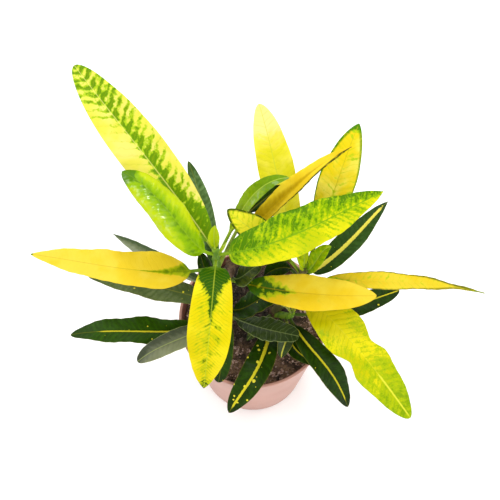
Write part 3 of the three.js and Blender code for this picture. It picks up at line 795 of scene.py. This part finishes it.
# Each row: the cane, the height where the leaf starts, two points on its way and its tip, then the
# length of its stalk, the width of its blade and how far its two halves fold up
LEAVES = {
    "left_01": ("left_shoot", 214, (-59, 44, 238), (-94, 84, 258), (-129, 127, 272), 8, 37, 20),
    "left_02": ("left_shoot", 212, (-44, 5, 236), (-63, 23, 254), (-92, 48, 256), 12, 26, 8),
    "left_03": ("left_shoot", 211, (13, 9, 222), (50, 21, 233), (92, 41, 240), 7, 37, 14),
    "left_04": ("left_shoot", 190, (-71, -4, 202), (-116, 1, 204), (-164, 13, 196), 18, 30, 14),
    "left_05": ("left_shoot", 206, (-29, -29, 212), (-32, -58, 196), (-36, -80, 166), 8, 32, 14),
    "left_06": ("left_cane", 166, (16, -11, 186), (52, -17, 190), (90, -16, 186), 16, 28, 14),
    "left_07": ("left_shoot", 162, (-32, 28, 184), (-38, 52, 198), (-49, 83, 212), 12, 14, 10),
    "left_08": ("left_shoot", 199, (6, 39, 204), (36, 54, 236), (70, 72, 250), 26, 16, 30),
    "left_09": ("left_shoot", 152, (-32, 0, 166), (-36, 6, 182), (-40, 14, 196), 4, 17, 10),
    "left_10": ("left_shoot", 205, (-13, 40, 198), (2, 46, 231), (25, 50, 244), 28, 13, 18),
    "left_11": ("left_cane", 150, (-45, 12, 156), (-76, 27, 161), (-109, 47, 162), 10, 12, 12),
    "left_12": ("left_cane", 134, (-49, 2, 146), (-89, 11, 151), (-128, 16, 150), 10, 24, 10),
    "left_13": ("left_cane", 106, (-56, -14, 112), (-100, -16, 116), (-146, -16, 108), 10, 26, 14),
    "left_14": ("left_cane", 116, (-38, -17, 125), (-64, -30, 128), (-90, -43, 120), 8, 18, 8),
    "left_15": ("left_cane", 130, (-23, -25, 142), (-24, -45, 136), (-27, -59, 118), 10, 17, 10),
    "left_16": ("left_cane", 108, (2, -14, 122), (18, -23, 133), (35, -29, 138), 8, 20, 10),
    "left_17": ("left_cane", 122, (-8, -4, 134), (7, 0, 146), (24, 5, 150), 6, 24, 10),
    "left_18": ("left_cane", 170, (-10, 2, 178), (-3, 4, 186), (6, 7, 190), 4, 20, 8),
    "left_19": ("left_shoot", 186, (-8, 39, 199), (5, 51, 206), (20, 60, 216), 46, 11, 6),
    "right_01": ("right_shoot", 188, (25, 46, 196), (15, 84, 214), (4, 117, 238), 16, 28, 12),
    "right_02": ("right_shoot", 190, (51, 31, 212), (63, 61, 232), (77, 95, 245), 20, 28, 12),
    "right_03": ("right_shoot", 184, (44, 2, 202), (49, 7, 210), (56, 11, 212), 5, 13, 16),
    "right_04": ("right_shoot", 176, (61, 17, 186), (81, 35, 194), (101, 56, 198), 7, 20, 14),
    "right_05": ("right_shoot", 172, (80, -3, 184), (128, -2, 177), (176, -2, 159), 16, 15, 14),
    "right_06": ("right_shoot", 180, (20, 15, 196), (0, 26, 208), (-19, 38, 219), 12, 25, 12),
    "right_07": ("right_shoot", 170, (27, 10, 178), (18, 9, 180), (8, 4, 177), 8, 14, 10),
    "right_08": ("right_shoot", 158, (60, -29, 166), (88, -57, 150), (119, -88, 120), 12, 36, 8),
    "front_01": ("front_shoot", 138, (59, -11, 144), (89, -2, 144), (115, 11, 135), 10, 19, 10),
    "front_02": ("front_shoot", 130, (44, -36, 132), (60, -51, 118), (75, -69, 88), 6, 21, 12),
    "front_03": ("right_cane", 103, (6, -42, 120), (-6, -63, 117), (-19, -77, 98), 6, 22, 10),
    "front_04": ("front_shoot", 117, (31, -28, 116), (39, -38, 119), (47, -45, 117), 6, 14, 10),
    "front_05": ("front_shoot", 124, (27, -21, 125), (24, -31, 122), (22, -38, 116), 4, 12, 10),
    "front_06": ("right_cane", 112, (8, -7, 116), (2, -15, 117), (-5, -23, 115), 4, 9, 10),
}
# The usual outline, and where single leaves differ: how the blade rolls round its middle line, where
# it is widest, how full it is at its base and at its point, and its waist
PLAIN_SHAPE = dict(roll=0, belly=0.5, base=0.6, point=0.6, waist=0, waist_place=0.5)
LEAF_SHAPES = {
    "left_01": dict(roll=12, base=0.4, point=0.53),
    "left_02": dict(belly=0.44, base=0.36, point=0.5),
    "left_03": dict(belly=0.42, base=0.32, point=0.8),
    "left_04": dict(belly=0.22, point=0.72, waist=0.1, waist_place=0.46),
    "left_05": dict(base=0.25, point=0.8),
    "left_06": dict(roll=-6),
    "left_07": dict(base=0.35),
    "left_08": dict(belly=0.4, point=0.9),
    "left_10": dict(point=0.5),
    "left_11": dict(point=0.8),
    "left_13": dict(roll=-12),
    "left_14": dict(belly=0.58, point=0.45),
    "left_15": dict(point=0.45),
    "left_16": dict(belly=0.6, point=0.35),
    "right_01": dict(belly=0.55, point=0.52),
    "right_02": dict(point=0.7),
    "right_04": dict(belly=0.36, base=0.35, point=0.8),
    "right_05": dict(belly=0.3, point=1.2, waist=0.2, waist_place=0.8),
    "right_08": dict(belly=0.35, point=0.52, waist=0.28, waist_place=0.47),
}
# The young leaves at the shoot ends, in rows like those of the leaves
BUDS = [
    ("left_shoot", 214, (-28, 8, 226), (-28, 10, 234), (-27, 12, 243), 3, 9, 25),
    ("left_shoot", 213, (-23, 3, 222), (-21, 2, 229), (-19, 3, 235), 3, 5, 25),
    ("right_shoot", 189, (37, 7, 199), (37, 11, 206), (38, 15, 213), 3, 7, 25),
    ("right_shoot", 188, (35, 1, 198), (33, 2, 204), (31, 5, 210), 3, 6, 25),
    ("front_shoot", 140, (28, -12, 148), (25, -12, 155), (21, -13, 161), 3, 6, 25),
    ("front_shoot", 140, (31, -11, 149), (31, -10, 156), (31, -9, 163), 3, 6, 25),
]

# %% Where a leaf leaves its cane
def cane_place(cane, height):
    """The point and the cane's radius at this height, in millimetres."""
    points = [Vector(point) for point in CANES[cane]["points"]]
    upper_end = next((k for k in range(1, len(points)) if points[k].z >= height), len(points) - 1)
    low, high = points[upper_end - 1], points[upper_end]
    place = low.lerp(high, (height - low.z) / (high.z - low.z))
    first, last = CANES[cane]["radii"]
    radius = first + (last - first) * (height - points[0].z) / (points[-1].z - points[0].z)
    return place, radius


def bezier_through(points):
    """The two handles of the cubic that passes through four points at equal steps."""
    a, b, c, d = points
    return (a * -5 + b * 18 - c * 9 + d * 2) / 6, (a * 2 - b * 9 + c * 18 - d * 5) / 6


# %% Grow one leaf
SUNK = 1.2
WAVE_LENGTH = 34
LEAST_WAVES = 1.2
PHASE_PER_MM = 0.07
RINGS_PER_MM = 0.95
LEAST_RINGS = 20
PLAIN_CURL = 0.06
PLAIN_QUILT = 1.2
DARK_QUILT = 0.5


def grow_leaf(name, row, look, seed_value):
    """A finished leaf or young leaf from its row of sizes."""
    cane, height, *points, stalk_mm, width_mm, fold_degrees = row
    shape = {**PLAIN_SHAPE, **LEAF_SHAPES.get(name, {})}
    axis, radius = cane_place(cane, height)
    first, second, tip = (Vector(point) for point in points)
    outward = (first - axis).normalized()
    start = axis + outward * (radius - SUNK)
    handles = bezier_through([axis + outward * radius, first, second, tip])
    heading = tip - axis
    reach = (tip - start).length
    usual_quilt = DARK_QUILT if look["family"] == "dark" else PLAIN_QUILT
    values = {
        "Start": start * MM,
        "Start Handle": handles[0] * MM,
        "End Handle": handles[1] * MM,
        "Tip": tip * MM,
        "Side": Vector((heading.y, -heading.x, 0)).normalized(),
        "Stalk": (stalk_mm + SUNK) * MM,
        "Width": width_mm * MM,
        "Fold": math.radians(fold_degrees),
        "Roll": math.radians(shape["roll"]),
        "Curl": look.get("curl", PLAIN_CURL),
        "Ripple": look.get("ripple", 1.0),
        "Quilt": look.get("quilt", usual_quilt),
        "Belly": shape["belly"],
        "Base Power": shape["base"],
        "Point Power": shape["point"],
        "Waist": float(shape["waist"]),
        "Waist Place": shape["waist_place"],
        "Turns": max(LEAST_WAVES, (reach - stalk_mm) / WAVE_LENGTH),
        "Phase": tip.x * PHASE_PER_MM,
        "Vein Spacing": look.get("spacing", VEIN_SPACING) * MM,
        "Rings": int(reach * RINGS_PER_MM) + LEAST_RINGS,
        "Material": leaf_material(name, look, seed_value),
    }
    return grow("grown_" + name, leaf_tree, values)


# %% Grow the leaves
SEED_STEP = 3.7
LEAF_SLOTS = {
    "yellow": "leaf_yellow", "orange": "leaf_yellow", "lime": "leaf_lime",
    "dark": "leaf_dark", "olive": "leaf_dark",
}
triangles = 0
for number, (name, row) in enumerate(LEAVES.items()):
    leaf = grow_leaf(name, row, LOOKS[name], SEED_STEP * number)
    tie(leaf, LEAF_SLOTS[LOOKS[name]["family"]], "leaf_" + name)
    triangles += sum(len(face.vertices) - 2 for face in leaf.data.polygons)
print("leaves:", len(LEAVES), "triangles:", triangles)

# %% [markdown]
# ## Young leaves
# At the end of each shoot the youngest leaves are still narrow and folded along their rib. They are
# grown by the same tree, with a short stalk and a strong fold, in a fresh light green on the tall
# shoots. On the shaded front shoot their darker green is painted shade.

# %% Buds at the shoot ends
BUD_SEED = 50.0
FRESH_BUD = dict(family="lime", base=0.4, middle=0.26, end=0.3, vein_share=0.1, pattern=0.5)
# The buds of the front shoot take darker olive colours: painted shade.
SHADED_BUD = {**FRESH_BUD, "family": "olive"}
for number, row in enumerate(BUDS):
    cane = row[0]
    bud_look = SHADED_BUD if cane == "front_shoot" else FRESH_BUD
    bud = grow_leaf(f"young_{number + 1}", row, bud_look, BUD_SEED + number)
    tie(bud, "stems", CANES[cane]["stem"])
print("young leaves:", len(BUDS))

# %% [markdown]
# ## Canes and shoots
# The lower canes are woody: brown bark with fine length-wise cracks and a cut top. The shoots above
# them are green. Both keep small raised scars where old leaves fell, set round the stem in the golden
# angle, as leaves grow. A path, a radius and a rule for the scars are all a tree needs.

# %% The cane tree
CANE_STEP = 1.5 * MM
CANE_SIDES = 28
CRACK_SCALE = 900.0
CRACK_STRETCH = 0.16
SCAR_ANGLE = math.radians(137.5)
SCAR_PLACE = 0.97
SCAR_BALL = {"Segments": 12, "Rings": 7, "Radius": 1.0}
SCAR_TALL = 1.5
SCAR_FLAT = 0.45
CANE_INPUTS = {
    "Geometry": "Geometry",
    **dict.fromkeys(("Foot Radius", "Top Radius", "Bark", "Scar Spacing", "Scar Size"), "Float"),
    "Material": "Material",
}
cane_tree, cane_input, cane_out = new_group("cane", "GeometryNodeTree", CANE_INPUTS, GEOMETRY_OUT)
cane_node = partial(add_node, cane_tree)

path = cane_node("GeometryNodeMeshToCurve", {0: cane_input("Geometry")})
path = cane_node("GeometryNodeCurveSplineType", {0: path.outputs[0]}, spline_type="CATMULL_ROM")
path = cane_node("GeometryNodeResampleCurve", {"Curve": path.outputs[0], "Length": CANE_STEP}, mode="LENGTH")
factor = Number(cane_tree, cane_node("GeometryNodeSplineParameter").outputs["Factor"])
radius = cane_input("Foot Radius") + (cane_input("Top Radius") - cane_input("Foot Radius")) * factor
path = cane_node("GeometryNodeSetCurveRadius", {"Curve": path.outputs[0], "Radius": radius})
circle = {"Resolution": CANE_SIDES, "Radius": 1.0}
ring = cane_node("GeometryNodeCurvePrimitiveCircle", circle, mode="RADIUS")
bar = cane_node("GeometryNodeCurveToMesh", {
    "Curve": path.outputs[0], "Profile Curve": ring.outputs[0], "Scale": radius, "Fill Caps": True,
})
here = cane_node("GeometryNodeInputPosition").outputs[0]
drawn_out = vector_calc(cane_tree, "MULTIPLY", here, (1.0, 1.0, CRACK_STRETCH))
cracks = noise(cane_tree, drawn_out, CRACK_SCALE, 3.0) - 0.5
facing = cane_node("GeometryNodeInputNormal").outputs[0]
push = vector_calc(cane_tree, "SCALE", facing, Scale=cracks * cane_input("Bark") * 2.0)
bar = cane_node("GeometryNodeSetPosition", {"Geometry": bar.outputs[0], "Offset": push})

steps = {"Curve": path.outputs[0], "Length": cane_input("Scar Spacing")}
spots = cane_node("GeometryNodeCurveToPoints", steps, mode="LENGTH")
angle = Number(cane_tree, cane_node("GeometryNodeInputIndex").outputs[0]) * SCAR_ANGLE
outward = point_at(cane_tree, angle.cos(), angle.sin(), 0.0)
reach = Number(cane_tree, cane_node("GeometryNodeInputRadius").outputs[0])
shift = vector_calc(cane_tree, "SCALE", outward, Scale=reach * SCAR_PLACE)
turned = cane_node("FunctionNodeAlignRotationToVector", {"Vector": outward}, axis="Z")
spots = cane_node("GeometryNodeSetPosition", {"Geometry": spots.outputs["Points"], "Offset": shift})
scar = cane_node("GeometryNodeMeshUVSphere", SCAR_BALL)
size = cane_input("Scar Size")
scars = cane_node("GeometryNodeInstanceOnPoints", {
    "Points": spots.outputs[0],
    "Instance": scar.outputs[0],
    "Rotation": turned.outputs[0],
    "Scale": point_at(cane_tree, size, size * SCAR_TALL, size * SCAR_FLAT),
})
both = cane_node("GeometryNodeJoinGeometry")
feed(cane_tree, both, 0, bar.outputs[0])
feed(cane_tree, both, 0, scars.outputs[0])
finish_tree(cane_tree, cane_out, both.outputs[0], cane_input("Material"))

# %% Bark and green skin
SKIN_STRETCH = 0.2
SKIN_PATCHES = 260.0
SKIN_GRAIN = 1100.0


def stem_material(name, low, high, cracked, dust):
    """Two colours drawn out along the stem, with a third for cracks or pale dots."""
    material, tree, shader = new_material(name, gloss=0.35)
    where = add_node(tree, "ShaderNodeTexCoord").outputs["Object"]
    drawn = vector_calc(tree, "MULTIPLY", where, (1.0, 1.0, SKIN_STRETCH))
    broad = noise(tree, drawn, SKIN_PATCHES, 3.0)
    fine = noise(tree, drawn, SKIN_GRAIN, 3.0)
    skin = blend_colour(tree, broad.ramp(0.38, 0.62), from_rgb(*low), from_rgb(*high))
    skin = blend_colour(tree, fine.ramp(0.56, 0.72) * cracked, skin, from_rgb(*dust))
    feed_shader(tree, shader, skin, fine * 0.25 + 0.45, fine, 0.5, 0.3 * MM)
    return material


SKINS = {
    "bark": stem_material("brown_bark", (80, 58, 40), (118, 92, 66), 0.7, (52, 38, 28)),
    "green": stem_material("green_shoot", (96, 140, 24), (140, 178, 40), 0.4, (176, 200, 90)),
    "olive": stem_material("olive_cane", (92, 92, 48), (120, 112, 62), 0.6, (74, 62, 38)),
}

# %% Grow the canes
CANE_FOOT = 62
SOIL_LEVEL = 97
for name, row in CANES.items():
    points = [Vector(point) for point in row["points"]]
    if points[0].z < SOIL_LEVEL:
        points.insert(0, Vector((points[0].x, points[0].y, CANE_FOOT)))
    line = bpy.data.meshes.new(name + "_line")
    edges = [(k, k + 1) for k in range(len(points) - 1)]
    line.from_pydata([point * MM for point in points], edges, [])
    foot_radius, top_radius = row["radii"]
    values = {
        "Foot Radius": foot_radius * MM,
        "Top Radius": top_radius * MM,
        "Bark": row["bark"] * MM,
        "Scar Spacing": row["spacing"] * MM,
        "Scar Size": row["scar"] * MM,
        "Material": SKINS[row["skin"]],
    }
    tie(grow(name, cane_tree, values, line), "stems", row["stem"])
print("canes and shoots:", len(CANES))

# %% [markdown]
# ## The soil
# Potting mix is dark moist peat with crumbs, bits of bark and short fibres lying on it. The mass below
# is a plain turned shape with an uneven top. The crumbs are scattered on that top by a tree: points
# with a fixed seed, and on each a small rough stone of its own size and turn. Round the canes, where
# the leaves shade the mix, a painted shade makes it nearly black.

# %% The soil mass
RIM_RADIUS = 60
BASE_RADIUS = 44
POT_HEIGHT = 108
WALL = 1.5
FLOOR = 2
BAND_HEIGHT = 11
BAND_STEP = 1.2
GAP = 0.3
SOIL_RELIEF = 1.1
SOIL_RINGS = 70
FOOT_CORNER = 3
FOOT_CAP_RADIUS = 12
TURN_SIDES = 160


def pot_inner_radius(z):
    top = RIM_RADIUS - BAND_STEP - WALL
    return BASE_RADIUS - WALL + (top - BASE_RADIUS + WALL) * z / POT_HEIGHT


def soil_height(x, y):
    """Broad swells, finer waves and small lumps, added up."""
    broad = np.sin(x * 0.11 + 1) * np.cos(y * 0.09)
    fine = np.sin(x * 0.43) * np.sin(y * 0.37 + 2)
    lumps = 0.5 * np.sin(x * 1.7 + y * 0.9) * np.sin(y * 1.9 - x * 0.6)
    lumps += 0.3 * np.sin(x * 3.1) * np.sin(y * 3.7)
    return SOIL_LEVEL + SOIL_RELIEF * (broad + 0.6 * fine + 0.5 * lumps)


def level_ring(radius, z, sides=TURN_SIDES, centre=(0, 0)):
    """A level ring of points round the pot's axis, or round another centre."""
    angles = np.linspace(0, FULL_TURN, sides, endpoint=False)
    x = radius * np.cos(angles) + centre[0]
    y = radius * np.sin(angles) + centre[1]
    return np.stack([x, y, np.full(sides, z)], 1)


def soil_ring(radius):
    ring = level_ring(radius, 0.0)
    ring[:, 2] = soil_height(ring[:, 0], ring[:, 1])
    return ring


def turned_mesh(name, rings, closed=True):
    """A mesh from rings of points, with the first and last ring filled where it is closed."""
    sides = len(rings[0])
    mesh = bpy.data.meshes.new(name)
    faces = []
    for row in range(len(rings) - 1):
        low = row * sides
        for k in range(sides):
            beside = (k + 1) % sides
            faces.append((low + k, low + beside, low + sides + beside, low + sides + k))
    if closed:
        last = (len(rings) - 1) * sides
        faces.append(tuple(reversed(range(sides))))
        faces.append(tuple(range(last, last + sides)))
    mesh.from_pydata(np.vstack(rings) * MM, [], faces)
    mesh.shade_smooth()
    return mesh


soil_foot = FLOOR + GAP
soil_edge = pot_inner_radius(SOIL_LEVEL) - 0.1
top_rings = [soil_ring(radius) for radius in np.linspace(soil_edge, 0.6, SOIL_RINGS)]
soil_rings = [
    level_ring(FOOT_CAP_RADIUS, soil_foot),
    level_ring(pot_inner_radius(soil_foot) - FOOT_CORNER, soil_foot),
    level_ring(pot_inner_radius(soil_foot + FOOT_CORNER) - GAP, soil_foot + FOOT_CORNER),
    *top_rings,
]
soil = add_object("soil_mass", turned_mesh("soil_mass", soil_rings))

# %% The colour of the mix
# The mix is painted darker round the canes: a painted shade of the leaves above it.
SHADE_CENTRE = (0, 15, 97)
SHADE_INNER_RADIUS = 28
SHADE_OUTER_RADIUS = 47
PAINTED_SHADE_MOST = 0.86
MIX_PATCHES = 120.0
MIX_GRAIN = 900.0
DARK_PEAT = from_rgb(66, 50, 38)
BROWN_PEAT = from_rgb(146, 114, 88)
RED_BARK = from_rgb(154, 110, 90)
PALE_BARK = from_rgb(238, 204, 188)
HOLLOWS = from_rgb(24, 16, 12)
PAINTED_SHADE_PEAT = from_rgb(22, 20, 10)


def soil_material(name, spread):
    """Dark moist peat with a painted shade round the canes; spread says how far single crumbs differ from
    it.
    """
    material, tree, shader = new_material(name, gloss=0.25)
    where = add_node(tree, "ShaderNodeTexCoord").outputs["Object"]
    from_canes = vector_calc(tree, "SUBTRACT", where, Vector(SHADE_CENTRE) * MM)
    away = add_node(tree, "ShaderNodeVectorMath", {0: from_canes}, operation="LENGTH").outputs["Value"]
    painted_shade_share = Number(tree, away).ramp(SHADE_INNER_RADIUS * MM, SHADE_OUTER_RADIUS * MM, PAINTED_SHADE_MOST, 0.0)
    broad = noise(tree, where, MIX_PATCHES, 3.0)
    fine = noise(tree, where, MIX_GRAIN, 4.0)
    ground = blend_colour(tree, broad.ramp(0.35, 0.65), DARK_PEAT, BROWN_PEAT)
    light = blend_colour(tree, fine.ramp(0.4, 0.6), RED_BARK, PALE_BARK)
    crumb_share = stored_value(tree, "tint").ramp(0.5, 0.66) * spread
    ground = blend_colour(tree, crumb_share, ground, light)
    ground = blend_colour(tree, fine.ramp(0.6, 0.8) * 0.5, ground, HOLLOWS)
    # Painted shade: round the canes the mix turns nearly black.
    ground = blend_colour(tree, painted_shade_share, ground, PAINTED_SHADE_PEAT)
    feed_shader(tree, shader, ground, broad * 0.3 + 0.6, fine, 0.8, 0.6 * MM)
    return material


soil.data.materials.append(soil_material("peat", 0.0))
crumb_mix = soil_material("peat_and_bark", 1.0)
tie(soil, "soil", "soil")

# %% The crumb tree
CRUMB_INPUTS = {
    "Geometry": "Geometry",
    **dict.fromkeys(("Per Square Metre", "Smallest", "Largest", "Flatness", "Stretch"), "Float"),
    "Seed": "Int",
    "Material": "Material",
}
MOST_TILT = 0.5
MOST_SPIN = 6.28
DENT_SCALE = 1.3
DENT_DEPTH = 1.1
crumb_tree, crumb_input, crumb_out = new_group("crumbs", "GeometryNodeTree", CRUMB_INPUTS, GEOMETRY_OUT)
crumb_node = partial(add_node, crumb_tree)
crumb_seed = crumb_input("Seed")


def random_number(low, high, step):
    """A random number for each crumb, from a seed this many steps above the tree's own."""
    # For plain numbers this node has its limits at inputs 2 and 3 and its result at output 1
    values = {2: low, 3: high, "Seed": crumb_seed + step}
    return Number(crumb_tree, crumb_node("FunctionNodeRandomValue", values, data_type="FLOAT").outputs[1])


scatter = crumb_node("GeometryNodeDistributePointsOnFaces", {
    "Mesh": crumb_input("Geometry"), "Density": crumb_input("Per Square Metre"), "Seed": crumb_seed,
}, distribute_method="RANDOM")
crumb_points = crumb_node("GeometryNodeStoreNamedAttribute", {
    "Geometry": scatter.outputs["Points"], "Name": "tint", "Value": random_number(0.0, 1.0, 1.0),
}, data_type="FLOAT", domain="POINT")
stone = crumb_node("GeometryNodeMeshIcoSphere", {"Radius": 1.0, "Subdivisions": 1})
stone_place = crumb_node("GeometryNodeInputPosition").outputs[0]
dent = noise(crumb_tree, stone_place, DENT_SCALE) * DENT_DEPTH + 0.4
rough_stone = crumb_node("GeometryNodeSetPosition", {
    "Geometry": stone.outputs[0], "Position": vector_calc(crumb_tree, "SCALE", stone_place, Scale=dent),
})
base_size = random_number(crumb_input("Smallest"), crumb_input("Largest"), 2.0)
long_size = base_size * crumb_input("Stretch")
flat_size = base_size * crumb_input("Flatness")
tilt = random_number(-MOST_TILT, MOST_TILT, 3.0)
spin = random_number(0.0, MOST_SPIN, 4.0)
lean = random_number(-MOST_TILT, MOST_TILT, 6.0)
crumbs = crumb_node("GeometryNodeInstanceOnPoints", {
    "Points": crumb_points.outputs[0],
    "Instance": rough_stone.outputs[0],
    "Rotation": point_at(crumb_tree, tilt, lean, spin),
    "Scale": point_at(crumb_tree, long_size, base_size, flat_size),
})
finish_tree(crumb_tree, crumb_out, crumbs.outputs[0], crumb_input("Material"))

# %% Scatter peat, bark and fibres
CM2_PER_M2 = 10000.0
MIX = {
    "peat_crumbs": dict(per_cm2=20, smallest=0.4, largest=1.3, flat=0.75, long=1.2, seed=5),
    "bark_bits": dict(per_cm2=7.0, smallest=0.9, largest=2.4, flat=0.4, long=1.8, seed=11),
    "fibres": dict(per_cm2=2.4, smallest=0.18, largest=0.3, flat=1.0, long=14.0, seed=23),
}
for name, row in MIX.items():
    values = {
        "Per Square Metre": row["per_cm2"] * CM2_PER_M2,
        "Smallest": row["smallest"] * MM,
        "Largest": row["largest"] * MM,
        "Flatness": row["flat"],
        "Stretch": row["long"],
        "Seed": row["seed"],
        "Material": crumb_mix,
    }
    piece = grow(name, crumb_tree, values, turned_mesh(name + "_ground", top_rings[1:], closed=False))
    tie(piece, "soil")
    print(name, "faces:", len(piece.data.polygons))

# %% [markdown]
# ## The pot
# A nursery pot is blow-moulded or injected in thin coloured plastic: a tapered wall, a stiffer band
# under the rim, a rounded lip, a flat floor with drain holes. Its section is drawn once and turned
# round the axis. The holes are cut with a Boolean, and then only the edges that are really sharp keep
# a sharp shade.

# %% Turn the pot
DRAIN_HOLES = 6
DRAIN_RADIUS = 4
DRAIN_CIRCLE = 28
DRILL_SIDES = 32
SHARP_ANGLE = math.radians(40)


def wall_radius(z):
    return pot_inner_radius(z) + WALL


band_foot = POT_HEIGHT - BAND_HEIGHT
band_radius = wall_radius(band_foot) + BAND_STEP
# Radius and height: the underside, the wall, the band, the lip, and down the inside to the floor
pot_section = [
    (0.5, 0.0), (DRAIN_CIRCLE, 0.0), (BASE_RADIUS - 2.0, 0.0), (BASE_RADIUS - 0.9, 0.25),
    (BASE_RADIUS - 0.25, 0.9), (wall_radius(2), 2.0), (wall_radius(30), 30.0), (wall_radius(60), 60.0),
    (wall_radius(band_foot - 0.8), band_foot - 0.8), (band_radius - 0.95, band_foot - 0.2),
    (band_radius - 0.25, band_foot + 0.1), (band_radius, band_foot + 0.6),
    (RIM_RADIUS - 0.1, POT_HEIGHT - 1.6), (RIM_RADIUS, POT_HEIGHT - 0.9),
    (RIM_RADIUS - 0.2, POT_HEIGHT - 0.3), (RIM_RADIUS - 0.8, POT_HEIGHT),
    (RIM_RADIUS - 1.9, POT_HEIGHT), (pot_inner_radius(POT_HEIGHT) + 0.1, POT_HEIGHT - 0.4),
    (pot_inner_radius(POT_HEIGHT - 1.2), POT_HEIGHT - 1.2), (pot_inner_radius(band_foot), band_foot),
    (pot_inner_radius(50), 50.0), (pot_inner_radius(FLOOR + 3), FLOOR + 3.0),
    (pot_inner_radius(FLOOR) - 1.0, FLOOR + 0.8), (pot_inner_radius(FLOOR) - 3.0, FLOOR), (0.5, FLOOR),
]
pot_rings = [level_ring(radius, z) for radius, z in pot_section]
pot = add_object("pot_shell", turned_mesh("pot_shell", pot_rings))

drills = []
for hole in range(DRAIN_HOLES):
    turn_to = FULL_TURN * (hole + 0.5) / DRAIN_HOLES
    centre = (DRAIN_CIRCLE * math.cos(turn_to), DRAIN_CIRCLE * math.sin(turn_to))
    rings = [level_ring(DRAIN_RADIUS, z, DRILL_SIDES, centre) for z in (-FLOOR, 2 * FLOOR)]
    drills.append(add_object(f"drill_{hole}", turned_mesh(f"drill_{hole}", rings)))
    cut = pot.modifiers.new(f"drain_{hole}", "BOOLEAN")
    cut.operation = "DIFFERENCE"
    cut.object = drills[-1]
    cut.solver = "EXACT"
apply_modifiers(pot)
for drill in drills:
    bpy.data.objects.remove(drill)
pot.data.shade_smooth()
pot.data.set_sharp_from_angle(angle=SHARP_ANGLE)
print("pot faces:", len(pot.data.polygons))

# %% Terracotta-coloured plastic
CLOUDS = 28.0
SPECKS = 700.0
LIGHT_CLAY = from_rgb(199, 143, 125)
PALE_CLAY = from_rgb(210, 157, 141)
SHADED_CLAY = from_rgb(104, 52, 38)
SOIL_STAIN = from_rgb(70, 46, 34)

plastic, plastic_tree, plastic_shader = new_material("terracotta_plastic", gloss=0.45)
plastic_place = add_node(plastic_tree, "ShaderNodeTexCoord").outputs["Object"]
plastic_xyz = add_node(plastic_tree, "ShaderNodeSeparateXYZ", {0: plastic_place})
x, y, z = (Number(plastic_tree, plastic_xyz.outputs[axis]) for axis in "XYZ")
radius_here = (x * x + y * y) ** 0.5
middle_radius = z * ((RIM_RADIUS - BAND_STEP - BASE_RADIUS) / POT_HEIGHT) + (BASE_RADIUS - WALL / 2) * MM
inside = (middle_radius - radius_here).ramp(0.0, 0.2 * MM)
cloudy = noise(plastic_tree, plastic_place, CLOUDS, 3.0)
speck = noise(plastic_tree, plastic_place, SPECKS)
clay = blend_colour(plastic_tree, cloudy.ramp(0.3, 0.7), LIGHT_CLAY, PALE_CLAY)
clay = blend_colour(plastic_tree, inside * 0.85, clay, SHADED_CLAY)
soil_line = inside * z.ramp((SOIL_LEVEL - 2) * MM, (SOIL_LEVEL + 7) * MM, 1.0, 0.0)
clay = blend_colour(plastic_tree, soil_line * speck.ramp(0.35, 0.6), clay, SOIL_STAIN)
feed_shader(plastic_tree, plastic_shader, clay, cloudy * 0.12 + 0.38, speck, 0.12, 0.1 * MM)
pot.data.materials.clear()
pot.data.materials.append(plastic)
tie(pot, "pot", "pot")
